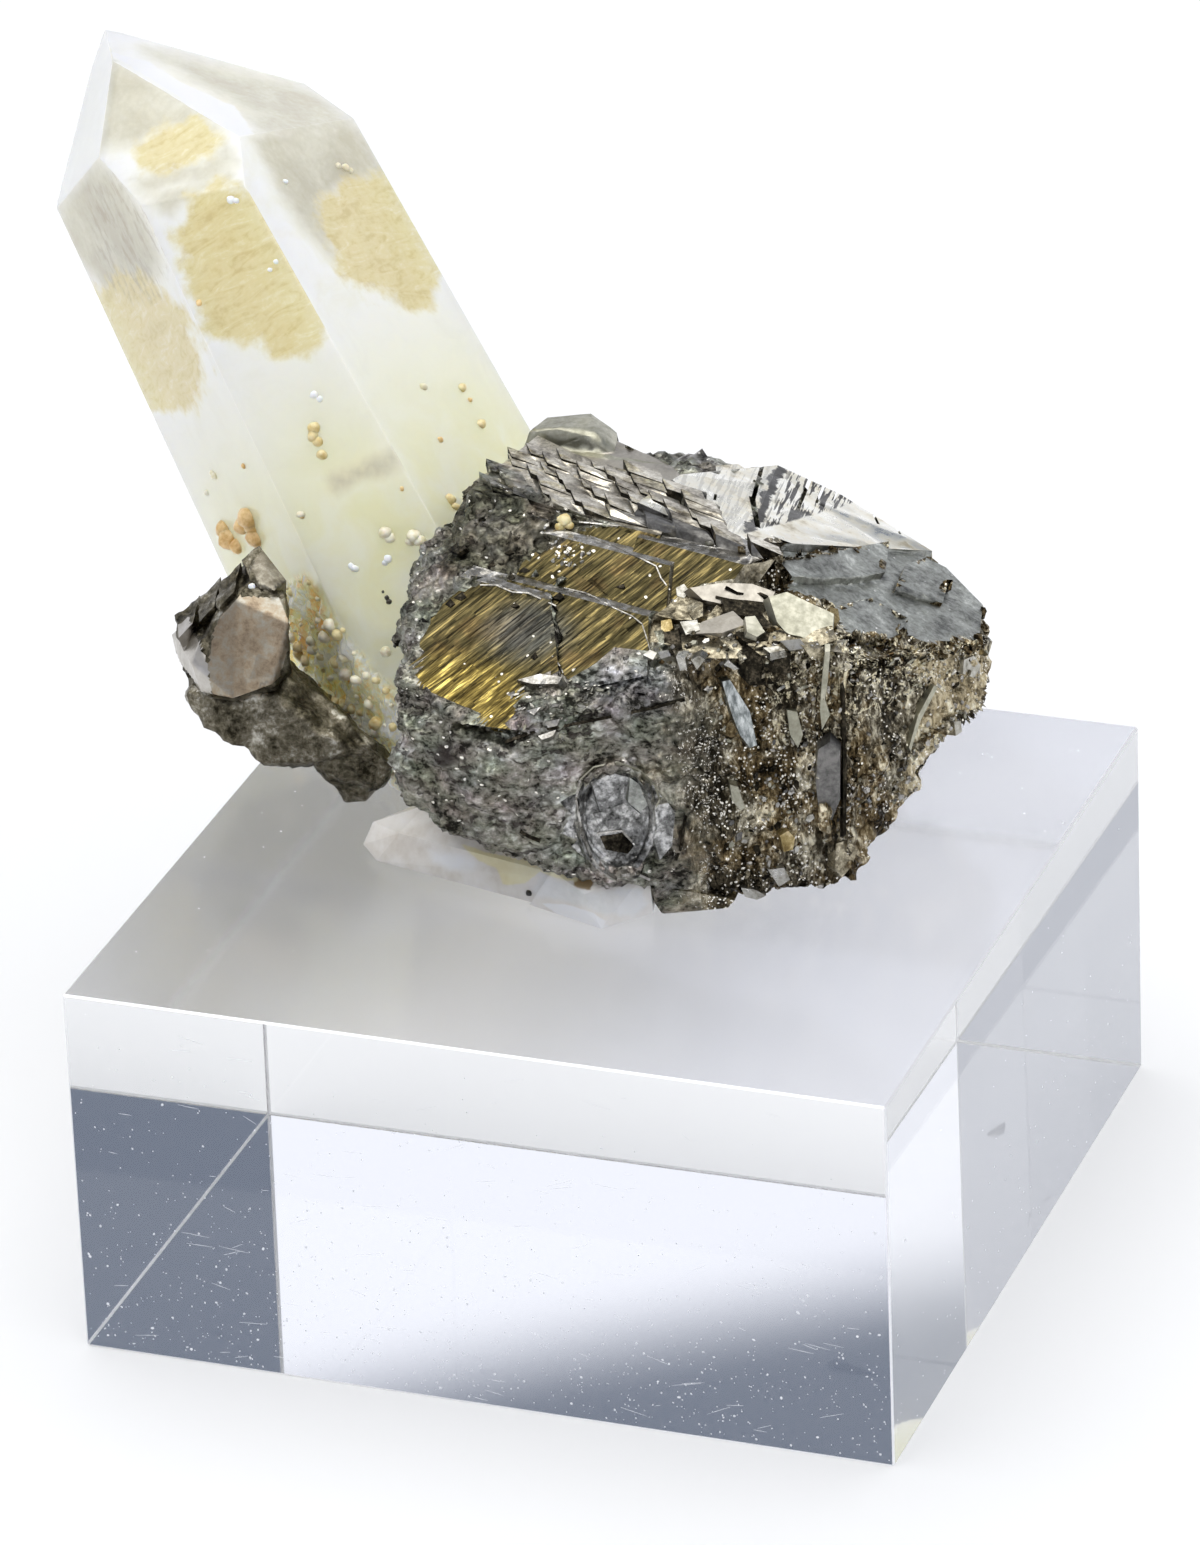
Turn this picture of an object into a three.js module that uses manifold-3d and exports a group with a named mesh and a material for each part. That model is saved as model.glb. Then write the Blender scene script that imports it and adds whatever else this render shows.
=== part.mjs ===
// A pyrrhotite and quartz specimen on a clear block. Millimetres, +Z up.
// The origin is the middle of the block's underside, and the block's front faces -Y.

import * as THREE from 'three';
import { ConvexGeometry } from 'three/addons/geometries/ConvexGeometry.js';
import { mergeVertices } from 'three/addons/utils/BufferGeometryUtils.js';
import Module from 'manifold-3d';

const wasm = await Module();
wasm.setup();

// Driving dimensions.
const BLOCK_SIDE = 50.8;
const BLOCK_HEIGHT = 23.8;
const BLOCK_BEVEL = 0.12;
const REST_HEIGHT = BLOCK_HEIGHT + 0.02;
const GROWTH_GAP = 0.3;

// The quartz point: a place on its axis near the shoulders, and the way its axis leans.
const POINT_CENTRE = new THREE.Vector3(-35.6, 27.4, 54);
const POINT_AZIMUTH = 152.6;
const POINT_ELEVATION = 50.1;
// Its faces. Turn goes round the axis from the upper side, lean goes toward the tip,
// and reach is the face's distance from the centre.
const PRISM_FACES = [
  { turn: -105.3, lean: 2.6, reach: 7.83 },
  { turn: -54, lean: 2.1, reach: 10.73 },
  { turn: 18.3, lean: 2.8, reach: 7.9 },
  { turn: 79.1, lean: 0.3, reach: 8.5 },
  { turn: 136.4, lean: 2, reach: 7 },
  { turn: 196.3, lean: 2.3, reach: 9.6 },
];
const TIP_FACES = [
  { turn: -104.9, lean: 38.6, reach: 7.54 },
  { turn: -42.6, lean: 31.9, reach: 7.67 },
  { turn: 21, lean: 39, reach: 5.25 },
  { turn: 79.8, lean: 46.8, reach: 7.35 },
  { turn: 138, lean: 40, reach: 7.6 },
  { turn: 198, lean: 40, reach: 9.2 },
];

// The large cluster: its striated face, its flat roof and the levels of its growth steps.
const STRIATED_CORNER = new THREE.Vector3(-9.3, -7.5, 37.3);
const STRIATED_FACING = new THREE.Vector3(-0.08, -0.52, 0.85).normalize();
const STEP_DROP = 0.45;
const ROOF_HEIGHT = 43.7;
const ROOF_EDGE = [6.8, 5.6, ROOF_HEIGHT];
const ROOF_EDGE_FACING = new THREE.Vector3(0.5, 0.85, 0.1);
const TILE_START = new THREE.Vector3(-9.9, 6.4, ROOF_HEIGHT);
const TILE_WIDTH = 2.2;
const TILE_DEPTH = 1.25;
const TILE_RAISE = 0.4;
const TILE_ROWS = 7;
const TILE_COLUMNS = 9;

// The bright and the grey crystal share a corner at the right of the roof.
const CREAM_FACING = new THREE.Vector3(0.317, 0.196, 0.928).normalize();
const GREY_FACING = new THREE.Vector3(0.44, 0.117, 0.89).normalize();
const RIGHT_CORNER = new THREE.Vector3(8.4, 8.7, 41.1);

// The imprint of a crystal in the front wall.
const IMPRINT_PLACE = new THREE.Vector3(3.1, -7.5, 30.6);
const IMPRINT_FACING = new THREE.Vector3(0.3, -0.95, 0.08).normalize();
const IMPRINT_HALF_WIDTH = 2.45;
const IMPRINT_HALF_HEIGHT = 3.8;

// The rough lumps: their middles and how finely each one's surface is divided.
const CLUSTER_CENTRE = new THREE.Vector3(2, 4, 33);
const CLUSTER_DETAIL = 13;
const SIDE_CENTRE = new THREE.Vector3(-20.5, 4.5, 28.4);
const SIDE_DETAIL = 7;
const FLANK_DETAIL = 6;

const COLOURS = {
  acrylic: { color: 0xf4f6fb, roughness: 0.05, metalness: 0 },
  quartz: { color: 0xe9e6d2, roughness: 0.25, metalness: 0 },
  smokyQuartz: { color: 0xd8d2c6, roughness: 0.25, metalness: 0 },
  pyrrhotite: { color: 0x6b5f4f, roughness: 0.45, metalness: 0.8 },
  darkPyrrhotite: { color: 0x5d5148, roughness: 0.55, metalness: 0.7 },
};

const UP = new THREE.Vector3(0, 0, 1);
const SPREAD = points([[1, 0, 0], [-1, 0, 0], [0, 1, 0], [0, -1, 0], [0, 0, 1], [0, 0, -1]]);

function at(x, y, z) {
  return new THREE.Vector3(x, y, z);
}

function points(list) {
  return list.map(([x, y, z]) => at(x, y, z));
}

function radians(degrees) {
  return THREE.MathUtils.degToRad(degrees);
}

// Joining and cutting work on closed solids made from three.js geometry.
function solid(geometry) {
  const bare = new THREE.BufferGeometry();
  bare.setAttribute('position', geometry.attributes.position.clone());
  if (geometry.index) bare.setIndex(geometry.index.clone());
  const merged = mergeVertices(bare, 1e-4);
  return new wasm.Manifold(new wasm.Mesh({
    numProp: 3,
    vertProperties: new Float32Array(merged.attributes.position.array),
    triVerts: new Uint32Array(merged.index.array),
  }));
}

function geometryOf(body) {
  const mesh = body.getMesh();
  const geometry = new THREE.BufferGeometry();
  geometry.setAttribute('position', new THREE.BufferAttribute(mesh.vertProperties, 3));
  geometry.setIndex(new THREE.BufferAttribute(mesh.triVerts, 1));
  geometry.computeVertexNormals();
  return geometry;
}

function joined(bodies) {
  return bodies.reduce((whole, body) => whole.add(body));
}

// A crystal from its corners, larger all round by the extra amount.
function crystal(corners, extra = 0) {
  const moved = points(corners).flatMap((corner) => SPREAD.map(
    (way) => corner.clone().addScaledVector(way, extra),
  ));
  return solid(new ConvexGeometry(moved));
}

function facing(normal, place) {
  return new THREE.Plane().setFromNormalAndCoplanarPoint(normal.clone().normalize(), place);
}

// The point that three planes share, or null where they don't meet in one.
function meeting(a, b, c) {
  const rows = new THREE.Matrix3().set(
    a.normal.x, a.normal.y, a.normal.z,
    b.normal.x, b.normal.y, b.normal.z,
    c.normal.x, c.normal.y, c.normal.z,
  );
  if (Math.abs(rows.determinant()) < 1e-4) return null;
  return at(-a.constant, -b.constant, -c.constant).applyMatrix3(rows.invert());
}

// A crystal from the planes of its faces: the corners are where three of them meet.
function faceted(planes) {
  const corners = [];
  planes.forEach((a, i) => {
    planes.slice(i + 1).forEach((b, j) => {
      planes.slice(i + j + 2).forEach((c) => {
        const corner = meeting(a, b, c);
        if (corner && planes.every((plane) => plane.distanceToPoint(corner) < 1e-5)) {
          corners.push(corner);
        }
      });
    });
  });
  return solid(new ConvexGeometry(corners));
}

// Repeatable scatter between 0 and 1 for a whole-numbered place.
function scatter(x, y, z) {
  const wave = Math.sin(x * 127.1 + y * 311.7 + z * 74.7) * 43758.5453;
  return wave - Math.floor(wave);
}

// Smooth bumps between -1 and 1 whose spacing is one unit.
function bumps(place) {
  const cell = place.clone().floor();
  const part = place.clone().sub(cell);
  const ease = (t) => t * t * (3 - 2 * t);
  let sum = 0;
  for (let corner = 0; corner < 8; corner += 1) {
    const dx = corner & 1;
    const dy = (corner >> 1) & 1;
    const dz = corner >> 2;
    const weight = (dx ? ease(part.x) : 1 - ease(part.x))
      * (dy ? ease(part.y) : 1 - ease(part.y))
      * (dz ? ease(part.z) : 1 - ease(part.z));
    sum += weight * scatter(cell.x + dx, cell.y + dy, cell.z + dz);
  }
  return sum * 2 - 1;
}

function roughness(place) {
  const broad = bumps(place.clone().multiplyScalar(0.28));
  const fine = bumps(place.clone().multiplyScalar(0.75).addScalar(17));
  return broad * 0.6 + fine * 0.4;
}

// A bounding face of a rough lump: its facing, a place on it and how rough it is.
function rough(normal, place, amount) {
  return { plane: facing(at(...normal), at(...place)), amount };
}

// A rough lump: a ball's points are drawn to the nearest of the bounding faces,
// and each face is roughened by its own amount.
function roughLump(centre, faces, detail) {
  const ball = new THREE.IcosahedronGeometry(1, detail);
  const place = ball.attributes.position;
  for (let i = 0; i < place.count; i += 1) {
    const way = new THREE.Vector3().fromBufferAttribute(place, i).normalize();
    let length = Infinity;
    let height = 0;
    faces.forEach(({ plane, amount }) => {
      const toward = plane.normal.dot(way);
      const distance = -plane.distanceToPoint(centre) / toward;
      if (toward > 0.01 && distance < length) {
        length = distance;
        height = amount;
      }
    });
    const spot = centre.clone().addScaledVector(way, length);
    const snapped = spot.clone().multiplyScalar(1000).round().divideScalar(1000);
    spot.addScaledVector(way, height * roughness(snapped));
    place.setXYZ(i, spot.x, spot.y, spot.z);
  }
  return solid(ball);
}

// The clear block: a square slab with finely broken edges.
function acrylicBlock() {
  const half = BLOCK_SIDE / 2;
  const corners = [];
  [-1, 1].forEach((x) => [-1, 1].forEach((y) => [0, 1].forEach((z) => {
    const inward = BLOCK_BEVEL * (z ? -1 : 1);
    const height = BLOCK_HEIGHT * z;
    corners.push([x * (half - BLOCK_BEVEL), y * (half - BLOCK_BEVEL), height]);
    corners.push([x * half, y * (half - BLOCK_BEVEL), height + inward]);
    corners.push([x * (half - BLOCK_BEVEL), y * half, height + inward]);
  })));
  return crystal(corners);
}

// The quartz point's own directions: along its axis, its upper side, and across.
function pointFrame() {
  const lift = radians(POINT_ELEVATION);
  const turn = radians(POINT_AZIMUTH);
  const axis = at(Math.cos(lift) * Math.cos(turn), Math.cos(lift) * Math.sin(turn), Math.sin(lift));
  const upper = UP.clone().addScaledVector(axis, -UP.dot(axis)).normalize();
  const across = new THREE.Vector3().crossVectors(axis, upper);
  return { axis, upper, across };
}

function pointFace({ turn, lean, reach }, extra) {
  const { axis, upper, across } = pointFrame();
  const outward = upper.multiplyScalar(Math.cos(radians(turn)))
    .addScaledVector(across, Math.sin(radians(turn)));
  const normal = outward.multiplyScalar(Math.cos(radians(lean)))
    .addScaledVector(axis, Math.sin(radians(lean)));
  const place = POINT_CENTRE.clone().addScaledVector(normal, reach + extra);
  return facing(normal, place);
}

// The quartz point, larger all round by the extra amount, and standing on its broken foot.
function quartzPoint(extra) {
  const planes = [...PRISM_FACES, ...TIP_FACES].map((face) => pointFace(face, extra));
  planes.push(facing(at(0, 0, -1), at(0, 0, REST_HEIGHT - extra)));
  planes.push(facing(at(-0.28, 0.02, -1), at(-17, 12, REST_HEIGHT - extra)));
  planes.push(facing(at(0.1, 0.35, -1), at(-10, 21, REST_HEIGHT - extra)));
  return faceted(planes);
}

// The short quartz crystal that lies under the cluster, its pointed end to the left.
function quartzBase(extra) {
  const low = REST_HEIGHT;
  const lying = crystal([
    [-14.8, -3.4, low + 0.5], [-14.4, -2.6, low + 1.7], [-13.6, -4.3, low], [-12.2, -4, low + 1.9],
    [-11, -2.4, low + 3.2], [-10.8, 0, low + 2.8], [-13.4, -1, low], [0.5, -7.7, low],
    [1, -7.5, low + 2.2], [1, -5.2, low + 3.8], [1, -2.6, low + 3.2], [1, -2.4, low],
  ], extra);
  const brokenEnd = crystal([
    [-2.6, -7.6, low + 0.2], [2.4, -9, low], [5, -7, low + 0.4], [4.6, -6.4, low + 3],
    [1.2, -8.4, low + 1.8], [-1, -7.8, low + 2.8], [0, -4, low + 4.4], [4, -3.4, low],
  ], extra);
  return joined([lying, brokenEnd]);
}

function stepOrigin(level) {
  return STRIATED_CORNER.clone().addScaledVector(STRIATED_FACING, -level * STEP_DROP);
}

// One growth step: a slice of striated face below a flat tread, between its left and right ends.
function growthStep({ level, tread, ends: limits }) {
  const ends = limits.map(([normal, place]) => facing(at(...normal), at(...place)));
  return faceted([
    facing(STRIATED_FACING, stepOrigin(level)),
    facing(at(0.04, 0.03, 1), at(...tread)),
    facing(ROOF_EDGE_FACING, at(...ROOF_EDGE)),
    facing(at(0, -0.5, -0.85), at(0, -6, 34.5)),
    ...ends,
  ]);
}

function growthSteps() {
  return [
    growthStep({
      level: 0,
      tread: [-5, -1, 41.5],
      ends: [
        [[-1, 0.15, 0.2], [-9.9, -4, 39.2]],
        [[-0.45, -0.74, -0.3], [-9.3, -7.5, 37.3]],
        [[0.84, -0.5, -0.2], [-2.5, -10.7, 36]],
        [[0.93, 0.36, 0.1], [-1.9, -3.4, 40.4]],
      ],
    }),
    growthStep({
      level: 1,
      tread: [0, -1.2, 41.4],
      ends: [
        [[-1, 0, 0], [-6, -2, 40]],
        [[0.3, -0.9, -0.3], [1.6, -6.4, 38.4]],
        [[0.9, 0.1, 0.3], [4, -3.4, 40.5]],
      ],
    }),
    growthStep({
      level: 2,
      tread: [0, 2.5, 43.1],
      ends: [
        [[-1, 0, 0.2], [-5.6, 1.5, 42]],
        [[0, -1, 0], [0, -3, 40]],
        [[0.86, -0.1, 0.5], [4, 0.7, 42.4]],
      ],
    }),
    growthStep({
      level: 2.7,
      tread: [5, 3, 43.45],
      ends: [
        [[-1, 0, 0], [1, 1.5, 42]],
        [[0, -1, 0], [0, -1, 41]],
        [[0.8, -0.5, 0.3], [8.6, 2.4, 43]],
      ],
    }),
  ];
}

// The main crystal behind the steps: a flat roof, and its own striated face below the roof's edge.
function mainCrystal() {
  const top = ROOF_HEIGHT;
  return faceted([
    facing(at(0.02, 0, 1), at(0, 6, top)),
    facing(STRIATED_FACING, stepOrigin(3.3)),
    facing(at(0.95, -0.25, 0.12), at(11.5, 1.6, 43)),
    facing(at(0.61, 0.79, 0.05), at(11.1, 2.5, top)),
    facing(ROOF_EDGE_FACING, at(...ROOF_EDGE)),
    facing(at(1, 0.1, 0.25), at(1.6, 11, top)),
    facing(at(0.1, 1, 0.15), at(-2, 15, top)),
    facing(at(-1, 0.15, 0.25), at(-10.6, 8, top)),
    facing(at(-0.8, -0.45, 0.45), at(-10, 5.2, top)),
    facing(at(0.05, -0.85, -0.52), at(0.5, -4.1, 40.3)),
    facing(at(0, 0, -1), at(0, 0, 35)),
  ]);
}

// The roof's tiles: rhombs in rows along the striated face's top edge, each raised at its left end.
function roofTiles() {
  const along = at(0.985, -0.17, 0);
  const back = at(-0.5, 0.866, 0);
  const tiles = [];
  for (let row = 0; row < TILE_ROWS; row += 1) {
    for (let column = 0; column < TILE_COLUMNS; column += 1) {
      const chance = scatter(row + 3, column + 5, 1);
      const start = TILE_START.clone()
        .addScaledVector(along, column * TILE_WIDTH + 0.9 * chance - row * 0.3)
        .addScaledVector(back, row * TILE_DEPTH + 0.5 * scatter(row, column, 4));
      if (!onRoof(start)) continue;
      const end = start.clone().addScaledVector(along, TILE_WIDTH * (0.85 + 0.4 * scatter(row, column, 2)));
      const deep = TILE_DEPTH * (0.95 + 0.5 * scatter(row, column, 3));
      const corners = [start, end].flatMap((corner) => [corner, corner.clone().addScaledVector(back, deep)]);
      const raise = TILE_RAISE * (0.8 + 0.6 * chance);
      const upper = corners.map((corner, i) => corner.clone().setZ(ROOF_HEIGHT + (i < 2 ? raise : 0.06)));
      const lower = corners.map((corner) => corner.clone().setZ(ROOF_HEIGHT - 0.6));
      tiles.push(solid(new ConvexGeometry([...upper, ...lower])));
    }
  }
  return tiles;
}

// Whether a tile's front left corner is clear of the roof's left, right and back edges.
function onRoof({ x, y }) {
  const left = -10.9 + Math.max(y - 9.5, 0) * 0.45;
  return x > left && x + y * 1.2 < 12.6 && y < 12.4;
}

// The smooth shoulder behind the roof, and the knob on it.
function shoulderAndKnob() {
  const shoulder = crystal([
    [-10.8, 9.8, 43], [-10.2, 14, 43.3], [-9, 17.2, 43], [-5, 17.2, 43.1], [-1, 15.2, 42.9],
    [1.8, 12.6, 42.5], [1.2, 9, 42.6], [-13, 9, 34], [-11, 18.4, 34], [2.4, 16, 34], [2.4, 8, 34],
  ]);
  const knob = crystal([
    [-10.5, 15.2, 42.8], [-10.2, 15.5, 43.9], [-9.8, 17.8, 43.9], [-8.4, 15.6, 44.3], [-7.1, 18.2, 44.3],
    [-5.9, 15.4, 44.1], [-4.8, 15.9, 43.1], [-5.4, 18, 43.3], [-10.2, 14.8, 41.4], [-4.8, 15, 41.4],
    [-5.4, 18.8, 41.4], [-10.2, 18.6, 41.4],
  ]);
  return [shoulder, knob];
}

// The bright crystal behind the roof's right edge.
function creamCrystal() {
  return faceted([
    facing(CREAM_FACING, RIGHT_CORNER),
    facing(at(0.1, 1, 0.1), at(4.6, 23.1, 39.3)),
    facing(at(-0.93, 0.36, 0.1), at(1.4, 18.4, 41)),
    facing(at(0.4, 0.92, 0.05), at(8, 22.6, 38.2)),
    facing(at(0.85, -0.5, 0.1), at(12.9, 18.4, 38)),
    facing(at(-1, 0, 0), at(0, 12, 40)),
    facing(at(0, -1, 0), at(8, 6.5, 41)),
    facing(at(0, 0, -1), at(0, 0, 32)),
  ]);
}

// The grey crystal at the right, with a thinner plate on its back edge.
function greyCrystal() {
  const body = faceted([
    facing(GREY_FACING, RIGHT_CORNER.clone().addScaledVector(GREY_FACING, -0.25)),
    facing(at(0.97, 0.25, 0.1), at(18.9, 13.7, 36)),
    facing(at(0.6, 0.8, 0.1), at(16.6, 18.3, 36)),
    facing(at(-0.1, 1, 0.1), at(14, 19.2, 37)),
    facing(at(-0.87, 0.5, 0.1), at(12.4, 18.4, 38)),
    facing(at(-0.9, 0.3, 0.3), at(8.5, 7.2, 41)),
    facing(at(0.6, -0.78, 0.1), at(14.6, -0.4, 40)),
    facing(at(-0.3, -0.95, 0.1), at(13, -0.2, 40)),
    facing(at(0.95, -0.3, 0.1), at(18.7, 9.6, 36.5)),
    facing(at(0, 0, -1), at(0, 0, 31)),
  ]);
  const layer = (outline, raise) => {
    const corners = outline.map(([x, y]) => {
      const drop = (at(x, y, 0).sub(RIGHT_CORNER).dot(GREY_FACING) - raise) / GREY_FACING.z;
      return at(x, y, -drop);
    });
    const under = corners.map((corner) => corner.clone().addScaledVector(GREY_FACING, -1.2));
    return solid(new ConvexGeometry([...corners, ...under]));
  };
  return [
    body,
    layer([[8.7, 6.9], [12.2, 17.4], [13.3, 13.1], [12.1, 9.6], [9.9, 5.8]], 0.3),
    layer([[13.6, 16.2], [14.1, 18.6], [15.8, 18], [16.6, 14], [14.2, 12.2]], 0.02),
    layer([[12.2, 4.6], [13.6, 9.4], [15.8, 9.6], [16.4, 6.2], [14, 2.8]], 0.0),
  ];
}

// The bright broken plates between the striated face and the right wall.
function brokenPlates() {
  return [
    crystal([
      [3.9, -1.2, 41.2], [5.3, 1.6, 42], [7.4, 1.9, 42], [8.2, -0.8, 41.5], [6.2, -2.4, 41],
      [4, -1.4, 39], [8, 1.6, 39], [6, -2.6, 39],
    ]),
    crystal([
      [6.8, 0, 41.4], [8.8, 2.4, 42], [11, 1.9, 41.5], [12, 0, 41], [9.2, -1.8, 40.9],
      [7, -0.4, 39], [11, 1.6, 39], [9.4, -2, 39],
    ]),
    crystal([
      [10.2, -0.6, 41.6], [10.9, 1.4, 41.9], [13.6, 1.2, 41.4], [15, -1.2, 40.8], [13.8, -2.4, 40.6],
      [10.8, -1.8, 41], [10.4, -0.8, 39], [14.8, -1.2, 38.8], [11, 1, 39], [13.8, -2.4, 38.8],
    ]),
    crystal([
      [5.4, -4.6, 40.9], [6.6, -3.2, 41.3], [9.4, -3, 41], [10.4, -4.2, 40.4], [7.2, -5.1, 40.4],
      [5.6, -4.6, 38.8], [10, -3.8, 38.6], [7.4, -5, 38.6],
    ]),
    crystal([
      [8.6, -2.6, 41.4], [11.4, -1.7, 41.5], [13.8, -2.8, 40.9], [11.2, -4, 40.6],
      [8.8, -2.9, 39], [13.4, -2.7, 39], [11.2, -3.9, 39],
    ]),
    crystal([
      [-1.6, -8.6, 37.9], [0.8, -7.4, 38.7], [3.2, -6.8, 39], [1.8, -8.4, 38], [-1.4, -8.6, 36.4],
      [3, -7, 37],
    ]),
  ];
}

// The rough mass that everything above grows from.
function roughMass() {
  return roughLump(CLUSTER_CENTRE, [
    rough([-0.2, -0.98, 0.02], [-2.5, -10.2, 33], 0.5),
    rough([0.42, -0.9, 0.03], [5.3, -6.7, 30], 0.6),
    rough([0.97, -0.22, 0.06], [16.2, 3, 32], 0.9),
    rough([0.98, 0.1, 0.25], [19, 14, 34], 0.7),
    rough([0.55, 0.82, -0.1], [16.5, 18.5, 34], 0.6),
    rough([0.1, 1, -0.15], [5, 20.6, 34], 0.8),
    rough([-0.5, 0.86, 0], [-10, 18.5, 36], 0.7),
    rough([-0.96, -0.28, 0.02], [-11.4, -4.6, 35], 0.5),
    rough([-0.9, 0.1, 0.45], [-12.6, 8, 41], 0.4),
    rough([-0.62, -0.3, -0.72], [-8.4, -9.6, 29.6], 0.5),
    rough([-0.25, -0.55, -0.8], [0, -9.4, 27.6], 0.6),
    rough([0.02, 0, -1], [5.3, -6, REST_HEIGHT + 0.6], 0.55),
    rough([0.45, 0.2, -0.87], [15.6, 4.5, 26], 0.5),
    rough([-0.08, -0.52, 0.85], [-9.4, -8.8, 35.6], 0.25),
    rough([-0.62, -0.35, 0.7], [-10.9, 4.6, 42.6], 0.45),
    rough([0, 0, 1], [0, 8, 41.2], 0.3),
    rough([0.317, 0.196, 0.928], [8.4, 8.7, 40.6], 0.1),
    rough([0.44, 0.117, 0.89], [8.4, 8.7, 40.4], 0.2),
  ], CLUSTER_DETAIL);
}

// The rough left flank, from the roof's left edge down to the striated face.
function leftFlank() {
  return roughLump(at(-8.6, 6, 40), [
    rough([-0.62, -0.35, 0.7], [-10.4, 5, 43], 0.45),
    rough([-0.1, -0.6, 0.8], [-8, 3.2, 43], 0.4),
    rough([0, 0, 1], [-8, 8, 43.5], 0.12),
    rough([-0.97, 0.1, 0.2], [-11.9, 7, 41], 0.4),
    rough([1, 0, 0], [-4.4, 6, 40], 0.2),
    rough([0, 1, 0], [-8, 12, 40], 0.2),
    rough([0, 0, -1], [-8, 8, 36.5], 0.2),
    rough([0, -1, 0], [-8, -1.4, 39], 0.2),
  ], FLANK_DETAIL);
}

// The raised rim of a crystal's imprint in the front wall, and the shallow hollow inside it.
function onImprint(geometry) {
  const side = new THREE.Vector3().crossVectors(UP, IMPRINT_FACING).normalize();
  const up = new THREE.Vector3().crossVectors(IMPRINT_FACING, side);
  geometry.scale(IMPRINT_HALF_WIDTH, IMPRINT_HALF_HEIGHT, 1);
  geometry.applyMatrix4(new THREE.Matrix4().makeBasis(side, up, IMPRINT_FACING));
  geometry.translate(IMPRINT_PLACE.x, IMPRINT_PLACE.y, IMPRINT_PLACE.z);
  return solid(geometry);
}

function imprintRim() {
  const profile = [[0.78, -2], [1, -2], [1.02, 0.5], [0.92, 0.85], [0.8, 0.5], [0.78, -2]];
  const ring = new THREE.LatheGeometry(profile.map(([r, h]) => new THREE.Vector2(r, h)), 22);
  return onImprint(ring.rotateX(Math.PI / 2));
}

function imprintHollow() {
  const disc = new THREE.CylinderGeometry(0.8, 0.74, 4, 14).translate(0, 2.1, 0);
  return onImprint(disc.rotateX(Math.PI / 2));
}

// The ridge where the front wall turns into the right wall.
function wallRidge() {
  return crystal([
    [14.4, -2.4, 40.6], [15.6, -2, 40.4], [15.4, -0.2, 40.4], [14.2, -3.2, 33], [16, -2.4, 33.4],
    [14.6, -2.9, 27.4], [15.8, -1.9, 27], [14, 0, 27], [14, 0, 40],
  ]);
}

// Small sharp pits along the striated face's upper left edge.
function edgePits() {
  const places = [
    [-9.2, -1.4, 41], [-7.9, -0.4, 41.5], [-6.4, 0.3, 41.9], [-4.6, 0.6, 42], [-2.9, 0.2, 41.9],
    [-9.8, 0.6, 42], [-8.2, 1.6, 42.5], [-6.6, 2.4, 43], [-10.4, 3, 42.8], [-9, 4, 43.2],
  ];
  return places.map(([x, y, z], i) => {
    const pit = new THREE.TetrahedronGeometry(0.55 + 0.3 * scatter(i, 1, 7));
    pit.rotateZ(i * 0.9).rotateX(0.5 + i * 0.3).translate(x, y, z);
    return solid(pit);
  });
}

// Narrow clefts across the bright crystal.
function creamClefts() {
  const lines = [
    [[2.6, 22, 40.4], [4.2, 15.4, 41.1], 0.3], [[4, 15.8, 41.1], [6, 11.1, 41.5], 0.42],
    [[6.5, 16.9, 40], [5.2, 23.2, 39.1], 0.24], [[6.8, 19.6, 39.3], [6.1, 23.3, 38.8], 0.18],
    [[7.3, 21.3, 38.8], [6.9, 23.4, 38.4], 0.15], [[2.5, 13.6, 42.2], [2.8, 12.5, 42.3], 0.22],
    [[9.7, 21.9, 37.8], [10.4, 20.6, 37.8], 0.18], [[11.2, 21.5, 37.3], [11.8, 20.5, 37.3], 0.16],
  ];
  return lines.map(([from, to, wide]) => {
    const start = at(...from);
    const end = at(...to);
    const across = new THREE.Vector3().crossVectors(end.clone().sub(start), CREAM_FACING);
    across.normalize().multiplyScalar(wide);
    const top = [start, end].flatMap((spot) => [spot.clone().add(across), spot.clone().sub(across)]);
    const raised = top.map((spot) => spot.clone().addScaledVector(CREAM_FACING, 1));
    const deep = [start, end].map((spot) => spot.clone().addScaledVector(CREAM_FACING, -0.9));
    return solid(new ConvexGeometry([...raised, ...deep]));
  });
}

// Everything below the height at which the specimen rests.
function groundBelow() {
  return solid(new THREE.BoxGeometry(120, 120, 20).translate(0, 0, REST_HEIGHT - 10));
}

function largestPart(body) {
  const parts = body.decompose();
  return parts.reduce((best, part) => (part.volume() > best.volume() ? part : best));
}

// The large cluster, cut back from the quartz that it grew on.
function pyrrhotiteCluster() {
  const grown = joined([
    roughMass(), leftFlank(), mainCrystal(), ...growthSteps(), ...roofTiles(), ...shoulderAndKnob(),
    creamCrystal(), ...greyCrystal(), ...brokenPlates(), wallRidge(), imprintRim(),
  ]);
  const cuts = [
    imprintHollow(), ...edgePits(), ...creamClefts(), quartzPoint(GROWTH_GAP), quartzBase(GROWTH_GAP),
    groundBelow(),
  ];
  return largestPart(cuts.reduce((body, cut) => body.subtract(cut), grown));
}

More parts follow.
